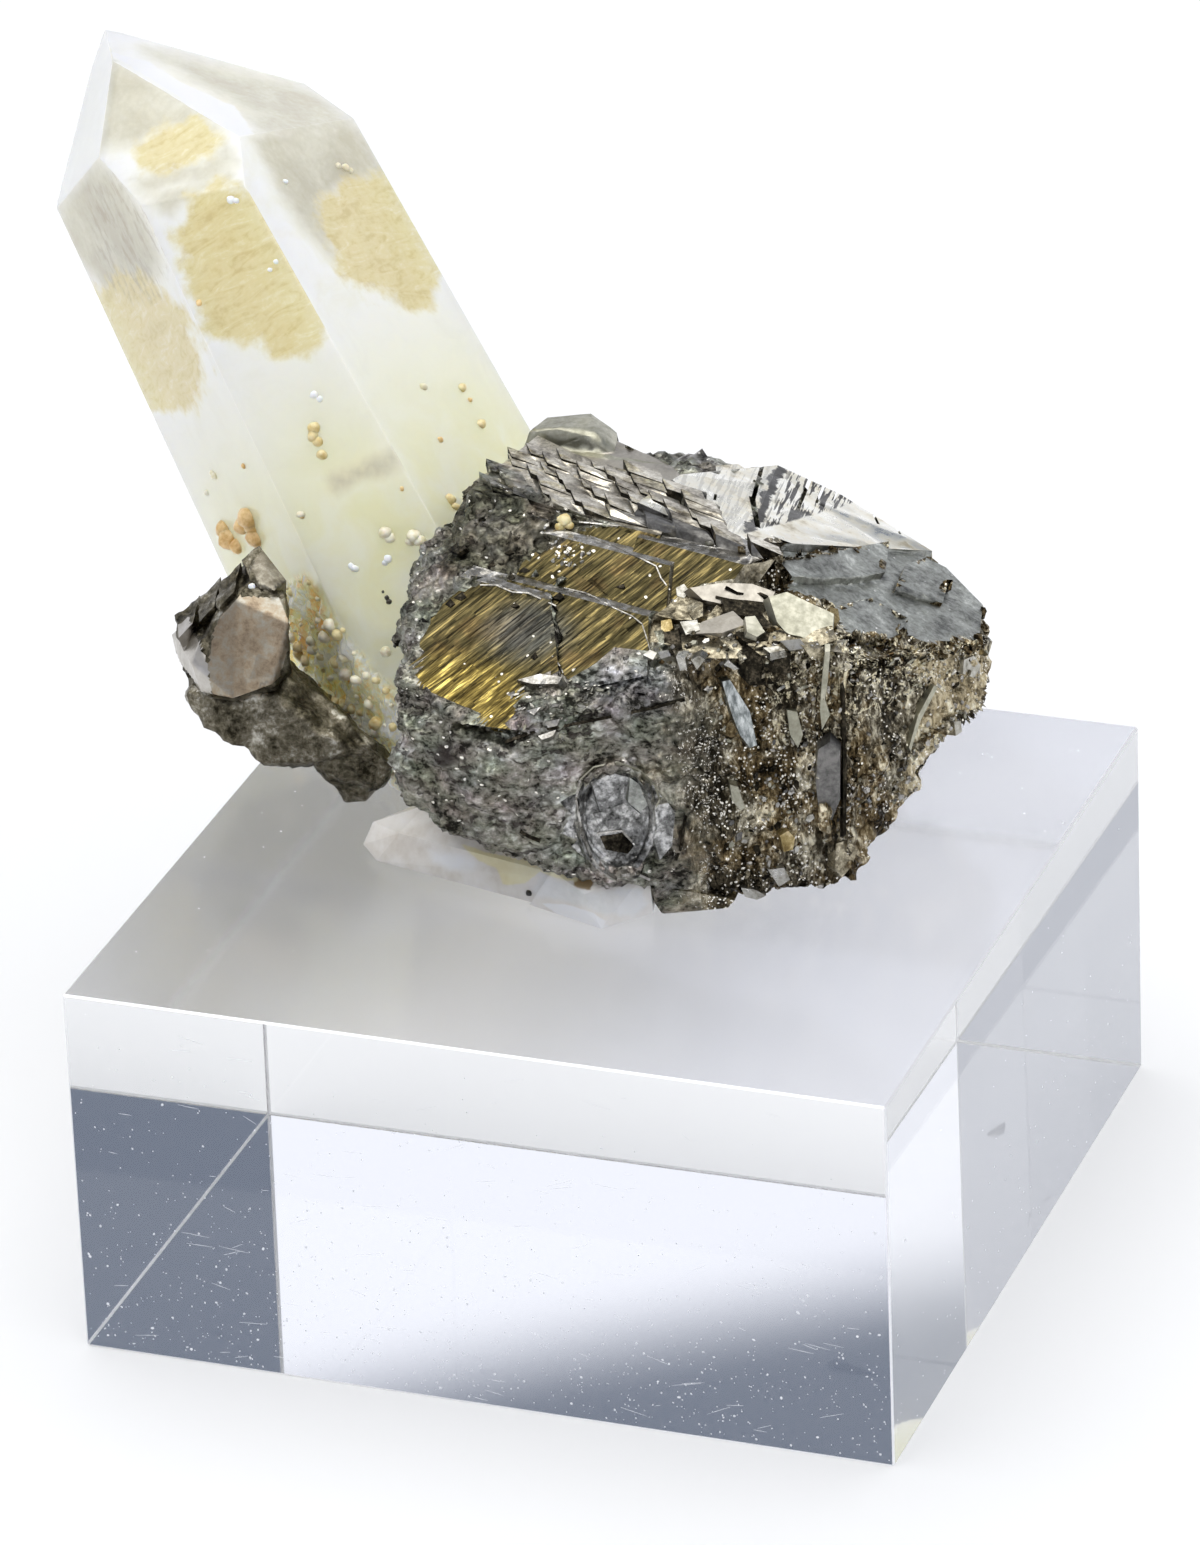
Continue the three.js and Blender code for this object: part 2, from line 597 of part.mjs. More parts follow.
// The tabular crystal on the quartz's left side, with its growth ledges.
function sideTablet() {
  const body = crystal([
    [-24.5, 6.4, 38.2], [-22.6, 5, 36.9], [-21.3, 2.4, 35.8], [-20.9, 1.2, 33.2], [-21.6, 0, 32.6],
    [-24.6, 2.6, 36.8], [-26.6, 1.2, 34.4], [-26.9, 0.3, 33.2], [-26.2, -0.2, 31.6],
    [-23.8, -0.9, 31.8], [-30.4, 5.6, 32.2], [-29, 5.6, 33.6], [-27.6, 3, 30.6], [-29.6, 4.4, 31.2],
    [-24.4, 9, 34], [-27, 9.4, 31], [-23.4, 6.4, 29],
  ]);
  const cap = crystal([
    [-24.6, 6.5, 38.5], [-25.4, 5.4, 38], [-24.4, 3.9, 37.5], [-22.6, 3.6, 37.1], [-22.3, 4.9, 37.2],
    [-24.6, 6.5, 36], [-22.4, 4.8, 35.6], [-24.4, 4.2, 36],
  ]);
  const ledges = [0, 1, 2].map((i) => {
    const shift = [-i * 1.35, -i * 0.15, -i * 1.15];
    return crystal([
      [-25.5, 5.5, 37.7], [-25, 3, 37], [-25.7, 2.3, 36.2], [-26.6, 4.4, 36.6], [-25.2, 5.2, 35],
      [-25.6, 3, 34.6],
    ].map((corner) => corner.map((value, axis) => value + shift[axis])));
  });
  return [body, cap, ...ledges];
}

// The rough mass below the tablet, down to the tip that touches the block.
function sideMass() {
  const lump = roughLump(SIDE_CENTRE, [
    rough([0.1, -1, 0.15], [-20, 0.9, 30], 0.5),
    rough([0.5, -0.25, 0.83], [-18.5, 3.2, 29.8], 0.45),
    rough([1, 0, 0.1], [-15, 2.6, 27], 0.4),
    rough([-0.95, -0.1, -0.3], [-28, 3.7, 29.6], 0.4),
    rough([-0.5, -0.1, -0.86], [-24.6, 1.8, 28], 0.4),
    rough([0.2, -0.45, -0.87], [-20, 1.2, 27], 0.4),
    rough([0, -0.3, 1], [-24, 3, 32], 0.3),
    rough([0, 1, 0], [-20, 11, 28], 0.3),
    rough([0.1, 0.3, -1], [-18, 5, 25.6], 0.4),
    rough([0.56, 0.54, 0.63], [-18.9, 4.7, 28.7], 0.4),
  ], SIDE_DETAIL);
  const tip = crystal([
    [-18.1, 2.6, REST_HEIGHT], [-17.3, 3, REST_HEIGHT], [-18.9, 1.4, 26.3], [-15.3, 1.8, 25.7],
    [-14.8, 2.2, 26.8], [-20.2, 1.2, 27.6], [-16.2, 1.2, 28.6], [-18, 6, 27], [-16.5, 4.5, 24.6],
  ]);
  return [lump, tip];
}

// The small cluster, cut back from the quartz that it grew on.
function sideCluster() {
  const grown = joined([...sideTablet(), ...sideMass()]);
  const cuts = [quartzPoint(GROWTH_GAP), groundBelow()];
  return largestPart(cuts.reduce((body, cut) => body.subtract(cut), grown));
}

function piece(name, body, look) {
  const mesh = new THREE.Mesh(geometryOf(body), new THREE.MeshStandardMaterial(look));
  mesh.name = name;
  return mesh;
}

const specimen = new THREE.Group();
specimen.add(piece('acrylic_block', acrylicBlock(), COLOURS.acrylic));
specimen.add(piece('quartz_point', quartzPoint(0), COLOURS.quartz));
specimen.add(piece('quartz_base', quartzBase(0), COLOURS.smokyQuartz));
specimen.add(piece('pyrrhotite_cluster', pyrrhotiteCluster(), COLOURS.pyrrhotite));
specimen.add(piece('pyrrhotite_side', sideCluster(), COLOURS.darkPyrrhotite));

export default specimen;
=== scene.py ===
"""A pyrrhotite and quartz specimen on a clear block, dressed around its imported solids."""
import math
import random

import bpy
import numpy as np
from mathutils import Matrix, Vector
from mathutils.bvhtree import BVHTree


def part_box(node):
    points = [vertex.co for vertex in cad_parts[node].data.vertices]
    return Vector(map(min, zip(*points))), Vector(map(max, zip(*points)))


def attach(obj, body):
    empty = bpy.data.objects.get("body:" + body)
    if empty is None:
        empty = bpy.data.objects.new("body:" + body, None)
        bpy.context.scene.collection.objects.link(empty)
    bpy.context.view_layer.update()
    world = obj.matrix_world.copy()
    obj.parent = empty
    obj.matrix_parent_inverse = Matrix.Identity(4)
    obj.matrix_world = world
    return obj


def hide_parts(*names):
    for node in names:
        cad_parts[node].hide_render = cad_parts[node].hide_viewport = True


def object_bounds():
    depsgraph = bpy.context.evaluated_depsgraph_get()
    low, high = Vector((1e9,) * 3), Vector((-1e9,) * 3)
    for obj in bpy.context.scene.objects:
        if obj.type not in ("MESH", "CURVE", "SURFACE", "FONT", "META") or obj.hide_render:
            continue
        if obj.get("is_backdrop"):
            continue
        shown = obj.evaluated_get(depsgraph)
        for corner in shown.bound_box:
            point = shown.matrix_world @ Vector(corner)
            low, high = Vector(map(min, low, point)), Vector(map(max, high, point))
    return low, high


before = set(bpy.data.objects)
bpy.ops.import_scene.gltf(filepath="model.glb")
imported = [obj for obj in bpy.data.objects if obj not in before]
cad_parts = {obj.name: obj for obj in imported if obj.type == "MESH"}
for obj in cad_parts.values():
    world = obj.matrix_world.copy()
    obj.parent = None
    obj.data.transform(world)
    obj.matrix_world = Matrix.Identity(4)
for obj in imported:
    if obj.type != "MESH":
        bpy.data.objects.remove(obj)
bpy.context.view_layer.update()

bpy.ops.object.select_all(action="DESELECT")


# ---------------------------------------------------------------- camera
# The camera stands to the front right of the block, above it and far off.
# Its directions and its place come from the block's corners in the photograph.
CAMERA_RIGHT = Vector((0.9421, 0.3334, -0.0357))
CAMERA_UP = Vector((-0.1189, 0.4318, 0.8941))
CAMERA_BACK = Vector((0.3135, -0.8381, 0.4464))
CAMERA_PLACE = Vector((0.16894, -0.45334, 0.27089))

bpy.ops.object.camera_add()
camera = bpy.context.object
turned = Matrix((CAMERA_RIGHT, CAMERA_UP, CAMERA_BACK)).transposed().to_4x4()
camera.matrix_world = Matrix.Translation(CAMERA_PLACE) @ turned
camera.data.lens = 210.27
camera.data.sensor_width = 36
camera.data.clip_start = 0.01
camera.data.clip_end = 10
bpy.context.scene.camera = camera


# ---------------------------------------------------------------- studio
# A white table under a broad overhead softbox, with a low white backdrop behind
# whose top edge slopes to the right, and the dim room above it.
def add_node(tree, kind, given=None, **settings):
    """A node of that kind, with its inputs set or linked and its own settings made."""
    made = tree.nodes.new("ShaderNode" + kind)
    for name, value in settings.items():
        setattr(made, name, value)
    for name, value in (given or {}).items():
        socket = made.inputs[name]
        if isinstance(value, bpy.types.NodeSocket):
            tree.links.new(value, socket)
        elif isinstance(value, tuple) and socket.type == "RGBA" and len(value) == 3:
            socket.default_value = (*value, 1)
        else:
            socket.default_value = value
    return made


def calc(tree, operation, first, second=0.0, third=0.0):
    made = add_node(tree, "Math", {0: first, 1: second, 2: third}, operation=operation)
    return made.outputs[0]


def ease(tree, value, low, high, to_low=0.0, to_high=1.0):
    """A smooth step of a value between low and high."""
    made = add_node(tree, "MapRange", {"Value": value, "From Min": low, "From Max": high,
                                       "To Min": to_low, "To Max": to_high},
                    interpolation_type="SMOOTHSTEP")
    return made.outputs[0]


def blend(tree, share, first, second, how="MIX"):
    """The second colour laid over the first by that share."""
    made = add_node(tree, "Mix", data_type="RGBA", blend_type=how)
    for index, value in ((0, share), (6, first), (7, second)):
        socket = made.inputs[index]
        if isinstance(value, bpy.types.NodeSocket):
            tree.links.new(value, socket)
        elif isinstance(value, tuple):
            socket.default_value = (*value, 1)
        else:
            socket.default_value = value
    return made.outputs[2]


SOFTBOX = (2.5, 2.5, 2.5)
BACKDROP = (0.93, 0.95, 1.03)
ROOM = (0.13, 0.158, 0.218)
FRONT_WALL = (0.72, 0.74, 0.82)
FRONT_SHADE = (0.4, 0.42, 0.48)

world = bpy.data.worlds.new("studio")
bpy.context.scene.world = world
world.use_nodes = True
sky = world.node_tree
ways = add_node(sky, "SeparateXYZ", {0: add_node(sky, "TexCoord").outputs["Generated"]}).outputs
backdrop_top = calc(sky, "MULTIPLY_ADD", ways[0], -0.145, 0.4575)
over_backdrop = calc(sky, "SUBTRACT", ways[2], backdrop_top)
behind = blend(sky, ease(sky, over_backdrop, -0.006, 0.006), BACKDROP, ROOM)
in_front = blend(sky, ease(sky, ways[2], 0.36, 0.43), FRONT_WALL, FRONT_SHADE)
around = blend(sky, ease(sky, ways[1], -0.35, 0.1), in_front, behind)
whole_sky = blend(sky, ease(sky, ways[2], 0.7, 0.86), around, SOFTBOX)
sky.links.new(whole_sky, sky.nodes["Background"].inputs["Color"])

bpy.ops.mesh.primitive_plane_add(size=6, location=(0, 0, -0.00005))
table_top = bpy.context.object
table_top.name = "table_top"
paper = bpy.data.materials.new("white_table")
paper.use_nodes = True
paper_shader = paper.node_tree.nodes["Principled BSDF"]
paper_shader.inputs["Base Color"].default_value = (0.6, 0.6, 0.6, 1)
# The table gives off a faint light of its own, painted light that lifts it everywhere. Under the block that light is
# painted shade: dimmer and warmer toward the left, brighter and bluer toward the right.
table_places = add_node(paper.node_tree, "SeparateXYZ", {0: add_node(paper.node_tree, "TexCoord").outputs["Object"]}).outputs
off_middle = calc(paper.node_tree, "MAXIMUM", calc(paper.node_tree, "ABSOLUTE", table_places[0]),
                  calc(paper.node_tree, "ABSOLUTE", table_places[1]))
under_block = ease(paper.node_tree, off_middle, 0.0254, 0.025)
painted_light = calc(paper.node_tree, "ADD", ease(paper.node_tree, table_places[0], -0.019, -0.007, 0.16, 0.38),
            ease(paper.node_tree, table_places[0], -0.007, 0.015, 0.0, 0.12))
painted_light = calc(paper.node_tree, "MULTIPLY_ADD", under_block, calc(paper.node_tree, "SUBTRACT", painted_light, 0.3), 0.3)
painted_shade_tint = blend(paper.node_tree, ease(paper.node_tree, table_places[0], -0.018, 0.012), (1.0, 0.965, 0.92), (0.96, 0.98, 1.08))
paper.node_tree.links.new(blend(paper.node_tree, under_block, (0.98, 0.99, 1.0), painted_shade_tint), paper_shader.inputs["Emission Color"])
paper.node_tree.links.new(painted_light, paper_shader.inputs["Emission Strength"])
paper_shader.inputs["Roughness"].default_value = 0.9
paper_shader.inputs["Specular IOR Level"].default_value = 0.1
table_top.data.materials.append(paper)
table_top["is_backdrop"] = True

bpy.context.scene.view_settings.view_transform = "Standard"
bpy.context.scene.cycles.glossy_bounces = 12
bpy.context.scene.cycles.transmission_bounces = 16
bpy.context.scene.cycles.max_bounces = 20


# ---------------------------------------------------------------- clear block
# A square slab of cast acrylic, saw-cut, polished on all faces and with finely
# broken edges. It is optically clear, so it shows the table and the room through it.
def new_look(name):
    """A material, its nodes and its main shader."""
    made = bpy.data.materials.new(name)
    made.use_nodes = True
    return made, made.node_tree, made.node_tree.nodes["Principled BSDF"]


def set_inputs(tree, shader, given):
    for name, value in given.items():
        socket = shader.inputs[name]
        if isinstance(value, bpy.types.NodeSocket):
            tree.links.new(value, socket)
        elif isinstance(value, tuple) and len(value) == 3 and socket.type == "RGBA":
            socket.default_value = (*value, 1)
        else:
            socket.default_value = value


def wear(piece, *looks):
    """Gives a piece its materials in place of those it has."""
    piece.data.materials.clear()
    for look in looks:
        piece.data.materials.append(look)


acrylic, tree, shader = new_look("clear_acrylic")
geometry = add_node(tree, "NewGeometry").outputs
facing = add_node(tree, "VectorMath", {0: geometry["True Normal"]}, operation="ABSOLUTE").outputs[0]
sides = add_node(tree, "SeparateXYZ", {0: facing}).outputs
from_above = calc(tree, "MULTIPLY", ease(tree, sides[2], 0.9, 0.98), calc(tree, "SUBTRACT", 1.0, geometry["Backfacing"]))
flattest = calc(tree, "MAXIMUM", sides[0], calc(tree, "MAXIMUM", sides[1], sides[2]))
set_inputs(tree, shader, {
    "Base Color": (0.985, 0.99, 1.0), "IOR": 1.49,
    "Transmission Weight": ease(tree, flattest, 0.9, 0.98, 0.4, 1.0),
    "Roughness": calc(tree, "MULTIPLY_ADD", from_above, 0.15, ease(tree, flattest, 0.9, 0.98, 0.4, 0.02)),
})
wear(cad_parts["acrylic_block"], acrylic)


# ---------------------------------------------------------------- quartz point
# A cloudy quartz crystal, milky white with yellow stain under its front faces.
# It grew from the foot that stands on the block, and it ends in six sloping tip faces.
AXIS = Vector((-0.5695, 0.2952, 0.7672))
UPPER = Vector((0.6811, -0.3530, 0.6414))
ACROSS = Vector((0.4602, 0.8878, 0.0))
SHOULDER_PLACE = (-0.0356, 0.0274, 0.054)


def copy_of(node, name):
    """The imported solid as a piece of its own, its loose triangles joined."""
    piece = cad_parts[node].copy()
    piece.data = piece.data.copy()
    piece.name = piece.data.name = name
    for key in list(piece.keys()):
        del piece[key]
    piece.parent = None
    bpy.context.collection.objects.link(piece)
    bpy.ops.object.select_all(action="DESELECT")
    piece.select_set(True)
    bpy.context.view_layer.objects.active = piece
    bpy.ops.object.mode_set(mode="EDIT")
    bpy.ops.mesh.select_all(action="SELECT")
    bpy.ops.mesh.remove_doubles(threshold=2e-6)
    bpy.ops.object.mode_set(mode="OBJECT")
    return piece


def modify(piece, kind, **settings):
    """Adds a modifier to the piece and applies it."""
    made = piece.modifiers.new(kind.lower(), kind)
    for name, value in settings.items():
        setattr(made, name, value)
    bpy.context.view_layer.objects.active = piece
    bpy.ops.object.modifier_apply(modifier=made.name)


def turn_of(x_way, y_way, z_way):
    """The turn that lays X, Y and Z along three directions."""
    return tuple(Matrix((x_way, y_way, z_way)).transposed().to_euler())


def in_frame(tree, place, turn, size=(1, 1, 1)):
    """Object coordinates seen from a place, turned and divided by a size."""
    where = add_node(tree, "TexCoord").outputs["Object"]
    made = add_node(tree, "Mapping", {"Vector": where, "Location": place, "Rotation": turn, "Scale": size},
                    vector_type="TEXTURE")
    return made.outputs[0]


def noise(tree, where, scale, detail=3.0, roughness=0.55, distortion=0.0):
    made = add_node(tree, "TexNoise", {"Vector": where, "Scale": scale, "Detail": detail,
                                       "Roughness": roughness, "Distortion": distortion})
    return made.outputs[0]


def ramp(tree, value, stops):
    """Colours or greys along a value: pairs of a place and a colour."""
    made = add_node(tree, "ValToRGB", {0: value})
    elements = made.color_ramp.elements
    while len(elements) < len(stops):
        elements.new(0.5)
    for element, (place, colour) in zip(elements, stops):
        element.position = place
        element.color = (*colour, 1) if isinstance(colour, tuple) else (colour, colour, colour, 1)
    return made.outputs[0]


def relief(tree, height, strength, distance, under=None):
    """A bump from a height, laid over another bump where there is one."""
    given = {"Height": height, "Strength": strength, "Distance": distance}
    if under is not None:
        given["Normal"] = under
    return add_node(tree, "Bump", given).outputs[0]


def mixed(tree, broad, fine, share=0.45):
    return calc(tree, "ADD", calc(tree, "MULTIPLY", broad, 1 - share), calc(tree, "MULTIPLY", fine, share))


def face_share(tree, normal, spread=0.03):
    """1 on the flat face that looks that way, 0 elsewhere."""
    facing = add_node(tree, "NewGeometry").outputs["True Normal"]
    along = add_node(tree, "VectorMath", {0: facing, 1: tuple(normal)}, operation="DOT_PRODUCT")
    return ease(tree, along.outputs["Value"], 1 - 2 * spread, 1 - spread)


FRAME_WIDTH, FRAME_HEIGHT = 1200, 1545
FOCAL = 210.27 / 36 * FRAME_HEIGHT


def seen_in_frame(places):
    """Where places in space are seen in the photograph's frame, as rows of x and y."""
    offsets = places - np.array(CAMERA_PLACE)
    depth = offsets @ -np.array(CAMERA_BACK)
    x = FRAME_WIDTH / 2 + FOCAL * (offsets @ np.array(CAMERA_RIGHT)) / depth
    y = FRAME_HEIGHT / 2 - FOCAL * (offsets @ np.array(CAMERA_UP)) / depth
    return np.stack([x, y], axis=1)


def depth_inside(spots, outline):
    """How far each spot lies inside an outline; negative outside it."""
    inside = np.zeros(len(spots), bool)
    nearest = np.full(len(spots), 1e9)
    for start, end in zip(np.array(outline, float), np.roll(np.array(outline, float), -1, axis=0)):
        side = end - start
        along = np.clip(((spots - start) @ side) / (side @ side), 0, 1)
        nearest = np.minimum(nearest, np.linalg.norm(spots - start - along[:, None] * side, axis=1))
        crosses = (start[1] > spots[:, 1]) != (end[1] > spots[:, 1])
        at_height = start[0] + side[0] * (spots[:, 1] - start[1]) / (side[1] if side[1] else 1e-9)
        inside ^= crosses & (spots[:, 0] < at_height)
    return np.where(inside, nearest, -nearest)


def mark(piece, name, regions, least=0.8):
    """Stores on each corner how far it lies inside any region: an outline, on faces that look one way."""
    mesh = piece.data
    spots = np.zeros(len(mesh.vertices) * 3)
    mesh.vertices.foreach_get("co", spots)
    facings = np.zeros(len(mesh.vertices) * 3)
    mesh.vertices.foreach_get("normal", facings)
    spots, facings = spots.reshape(-1, 3), facings.reshape(-1, 3)
    seen = seen_in_frame(spots)
    depth = np.full(len(spots), -20.0)
    for way, outline in regions:
        inside = depth_inside(seen, outline)
        inside[facings @ np.array(way) < least] = -20.0
        depth = np.maximum(depth, inside)
    layer = mesh.attributes.new(name, "FLOAT", "POINT")
    layer.data.foreach_set("value", np.clip(depth / 20, -1, 1))


def marked(tree, name, ragged=0.5, soft=0.06, scale=800):
    """1 inside the marked regions, with a ragged border."""
    depth = add_node(tree, "Attribute", attribute_name=name).outputs["Fac"]
    wavy = noise(tree, add_node(tree, "TexCoord").outputs["Object"], scale, 5, 0.6)
    return ease(tree, calc(tree, "ADD", depth, calc(tree, "MULTIPLY_ADD", wavy, ragged, -ragged / 2)), -soft, soft)


FRONT_FACE = (0.0071, -0.9143, 0.4049)
LEFT_FACE = (-0.6488, -0.7490, -0.1343)
RIGHT_FACE = (0.7624, -0.0419, 0.6458)
FRONT_TIP = (-0.1398, -0.5748, 0.8063)
LEFT_TIP = (-0.8397, -0.4154, 0.3497)
RIGHT_TIP = (0.2639, 0.1769, 0.9482)
STAINS = [
    (FRONT_TIP, [(132, 154), (146, 136), (165, 124), (192, 113), (226, 138), (214, 158), (165, 167), (138, 170)]),
    (FRONT_FACE, [(168, 226), (190, 210), (186, 190), (207, 184), (219, 178), (236, 188), (262, 182), (284, 212),
                  (306, 250), (324, 285), (338, 312), (326, 346), (286, 358), (265, 354), (257, 340), (223, 338),
                  (205, 334), (188, 274), (174, 245)]),
    (LEFT_FACE, [(84, 296), (120, 266), (157, 282), (180, 310), (198, 337), (204, 374), (192, 412), (168, 410),
                 (138, 416), (118, 372), (92, 328)]),
    (RIGHT_FACE, [(320, 200), (340, 184), (373, 172), (408, 190), (436, 232), (448, 262), (427, 310), (398, 309),
                  (382, 296), (366, 292), (346, 278), (326, 248), (318, 228)]),
]
VEILS = [
    (FRONT_TIP, [(109, 50), (170, 87), (210, 112), (226, 136), (165, 128), (138, 145), (98, 150)]),
    (FRONT_TIP, [(127, 178), (165, 168), (212, 158), (224, 138), (240, 160), (215, 178), (177, 186), (140, 196)]),
    (FRONT_FACE, [(140, 199), (177, 186), (215, 178), (240, 160), (256, 187), (219, 178), (190, 196), (170, 215)]),
    (LEFT_FACE, [(52, 212), (98, 157), (127, 182), (161, 253), (160, 275), (107, 291), (66, 250)]),
    (RIGHT_FACE, [(250, 136), (361, 122), (424, 215), (430, 300), (398, 300), (373, 178), (340, 187), (322, 200),
                  (336, 262), (304, 230), (270, 178)]),
    (RIGHT_TIP, [(140, 46), (290, 78), (330, 100), (366, 124), (350, 136), (262, 136), (236, 105), (190, 80)]),
    (FRONT_FACE, [(330, 478), (361, 466), (398, 448), (400, 466), (357, 480), (336, 490)]),
]
# A painted highlight: a band of the right tip face is coloured near white.
PAINTED_HIGHLIGHTS = [(RIGHT_TIP, [(108, 52), (150, 62), (180, 82), (236, 107), (254, 134), (222, 139), (177, 95)])]

WISPS = [(84, 190), (120, 165), (150, 185), (168, 240), (162, 300), (120, 300), (96, 270)]
# This outline takes in the yellow carbonate coat and the whole shaded lower part of the left face, where the colour is
# painted lighter.
CRUST_AND_PAINTED_LIGHT = [(280, 586), (306, 574), (326, 604), (350, 640), (380, 676), (402, 696), (410, 740), (402, 800), (376, 798),
         (350, 744), (318, 712), (288, 680)]

cloudy, tree, shader = new_look("cloudy_quartz")
lengthwise = in_frame(tree, SHOULDER_PLACE, turn_of(UPPER, ACROSS, AXIS))
along = add_node(tree, "SeparateXYZ", {0: lengthwise}).outputs[2]
clouds = noise(tree, lengthwise, 260, 6, 0.62, 0.6)
specks = noise(tree, lengthwise, 2200, 4, 0.6)
crosswise = in_frame(tree, SHOULDER_PLACE, turn_of(UPPER, ACROSS, AXIS), (2.6, 2.6, 0.8))
ripples = noise(tree, crosswise, 1100, 5, 0.62, 1.2)
milk = ramp(tree, clouds, [(0.36, (1.0, 1.0, 0.96)), (0.5, (0.985, 0.985, 0.92)), (0.66, (0.95, 0.93, 0.82))])
low_share = ease(tree, calc(tree, "MULTIPLY_ADD", clouds, 0.02, along), 0.0, -0.016)
milk = blend(tree, calc(tree, "MULTIPLY", low_share, 0.85), milk,
             ramp(tree, clouds, [(0.36, (1.0, 0.96, 0.7)), (0.6, (0.98, 0.9, 0.54))]))
veil = ramp(tree, mixed(tree, clouds, specks, 0.25), [(0.4, (0.57, 0.53, 0.4)), (0.5, (0.63, 0.6, 0.47)),
                                                       (0.62, (0.72, 0.7, 0.58))])
streaks = noise(tree, in_frame(tree, SHOULDER_PLACE, turn_of(UPPER, ACROSS, AXIS), (0.8, 0.8, 2.2)), 1500, 5, 0.65)
wisps = calc(tree, "MULTIPLY", marked(tree, "wisp", 1.6, 0.4), ease(tree, streaks, 0.46, 0.64, 0.0, 0.5))
stain = ramp(tree, mixed(tree, ripples, specks, 0.3), [(0.36, (0.68, 0.56, 0.25)), (0.47, (0.78, 0.68, 0.35)),
                                                        (0.56, (0.81, 0.72, 0.40)), (0.68, (0.90, 0.84, 0.58))])
colour = blend(tree, calc(tree, "MULTIPLY", marked(tree, "veil", 0.9, 0.6, 420), 0.9), milk, veil)
colour = blend(tree, calc(tree, "MULTIPLY", marked(tree, "stain", 2.4, 0.4, 520), 0.92), colour, stain)
colour = blend(tree, wisps, colour, (0.42, 0.37, 0.27))
# The yellow carbonate coat is real. Its colours run up to near white, painted light that stands in for the light the
# translucent stone carries into this shaded face.
colour = blend(tree, marked(tree, "crust_and_painted_light", 0.7, 0.4), colour,
               ramp(tree, mixed(tree, clouds, specks, 0.4), [(0.4, (1.0, 0.66, 0.24)), (0.48, (1.0, 0.9, 0.52)),
                                                             (0.55, (1.0, 0.99, 0.84))]))
colour = blend(tree, face_share(tree, LEFT_TIP), colour, (0.8, 0.81, 0.79))
# Painted highlight: the near-white band on the right tip face.
colour = blend(tree, marked(tree, "white", 0.2, 0.08), colour, (0.96, 0.97, 0.99))
set_inputs(tree, shader, {
    "Base Color": colour, "Roughness": ease(tree, clouds, 0.2, 0.8, 0.06, 0.2),
    "IOR": 1.544,
    "Transmission Weight": ease(tree, marked(tree, "crust_and_painted_light", 0.7, 0.4), 0, 1, 0.25, 0.0),
    "Subsurface Weight": 0.9, "Subsurface Radius": (1.0, 0.95, 0.8), "Subsurface Scale": 0.009,
    "Normal": relief(tree, ripples, 0.12, 0.00005),
})


def split_edges(piece, longest, wanted=None):
    """Divides the wanted faces until none of their edges is longer than the length for its place."""
    edit_all(piece)
    bpy.ops.mesh.quads_convert_to_tris(quad_method="SHORTEST_DIAGONAL", ngon_method="BEAUTY")
    for _ in range(12):
        bpy.ops.object.mode_set(mode="OBJECT")
        mesh = piece.data
        spots = np.zeros(len(mesh.vertices) * 3)
        mesh.vertices.foreach_get("co", spots)
        ends = np.zeros(len(mesh.edges) * 2, int)
        mesh.edges.foreach_get("vertices", ends)
        ends = spots.reshape(-1, 3)[ends.reshape(-1, 2)]
        chosen = np.linalg.norm(ends[:, 0] - ends[:, 1], axis=1) > longest((ends[:, 0] + ends[:, 1]) / 2)
        if wanted is not None:
            sides = np.zeros(len(mesh.loops), int)
            mesh.loops.foreach_get("edge_index", sides)
            of_wanted = np.zeros(len(mesh.edges), bool)
            of_wanted[sides.reshape(-1, 3)[wanted(piece)].ravel()] = True
            chosen &= of_wanted
        if not chosen.any():
            break
        mesh.vertices.foreach_set("select", np.zeros(len(mesh.vertices), bool))
        mesh.polygons.foreach_set("select", np.zeros(len(mesh.polygons), bool))
        mesh.edges.foreach_set("select", chosen)
        bpy.context.tool_settings.mesh_select_mode = (False, True, False)
        bpy.ops.object.mode_set(mode="EDIT")
        bpy.ops.mesh.subdivide(number_cuts=1)
        bpy.ops.mesh.select_all(action="SELECT")
        bpy.ops.mesh.quads_convert_to_tris(quad_method="SHORTEST_DIAGONAL", ngon_method="BEAUTY")
    bpy.ops.object.mode_set(mode="OBJECT")


def edit_all(piece):
    """Opens the piece with everything selected."""
    bpy.context.view_layer.objects.active = piece
    bpy.ops.object.mode_set(mode="EDIT")
    bpy.ops.mesh.select_all(action="SELECT")


def texture(name, kind, scale, **settings):
    made = bpy.data.textures.new(name, kind)
    made.noise_scale = scale
    for key, value in settings.items():
        setattr(made, key, value)
    return made


point = copy_of("quartz_point", "quartz_crystal")
edit_all(point)
bpy.ops.mesh.dissolve_limited(angle_limit=0.01)
bpy.ops.object.mode_set(mode="OBJECT")
modify(point, "BEVEL", width=0.00006, segments=1, limit_method="ANGLE", angle_limit=0.2)
split_edges(point, lambda middles: np.where(depth_inside(seen_in_frame(middles), CRUST_AND_PAINTED_LIGHT) > -4, 0.00035, 0.0011))
mark(point, "stain", STAINS)
mark(point, "veil", VEILS)
mark(point, "white", PAINTED_HIGHLIGHTS)
mark(point, "wisp", [(LEFT_FACE, WISPS)])
mark(point, "crust_and_painted_light", [(FRONT_FACE, CRUST_AND_PAINTED_LIGHT), (LEFT_FACE, CRUST_AND_PAINTED_LIGHT)], least=0.5)
crusted = point.vertex_groups.new(name="crusted")
for index, depth in enumerate(point.data.attributes["crust_and_painted_light"].data):
    if depth.value > 0:
        crusted.add([index], min(depth.value * 4, 1.0), "REPLACE")
modify(point, "DISPLACE", texture=texture("crust_lumps", "CLOUDS", 0.0009, noise_depth=3), texture_coords="LOCAL",
       strength=0.0013, mid_level=0.35, vertex_group="crusted")
point.vertex_groups.clear()
wear(point, cloudy)
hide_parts("quartz_point")
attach(point, "root")


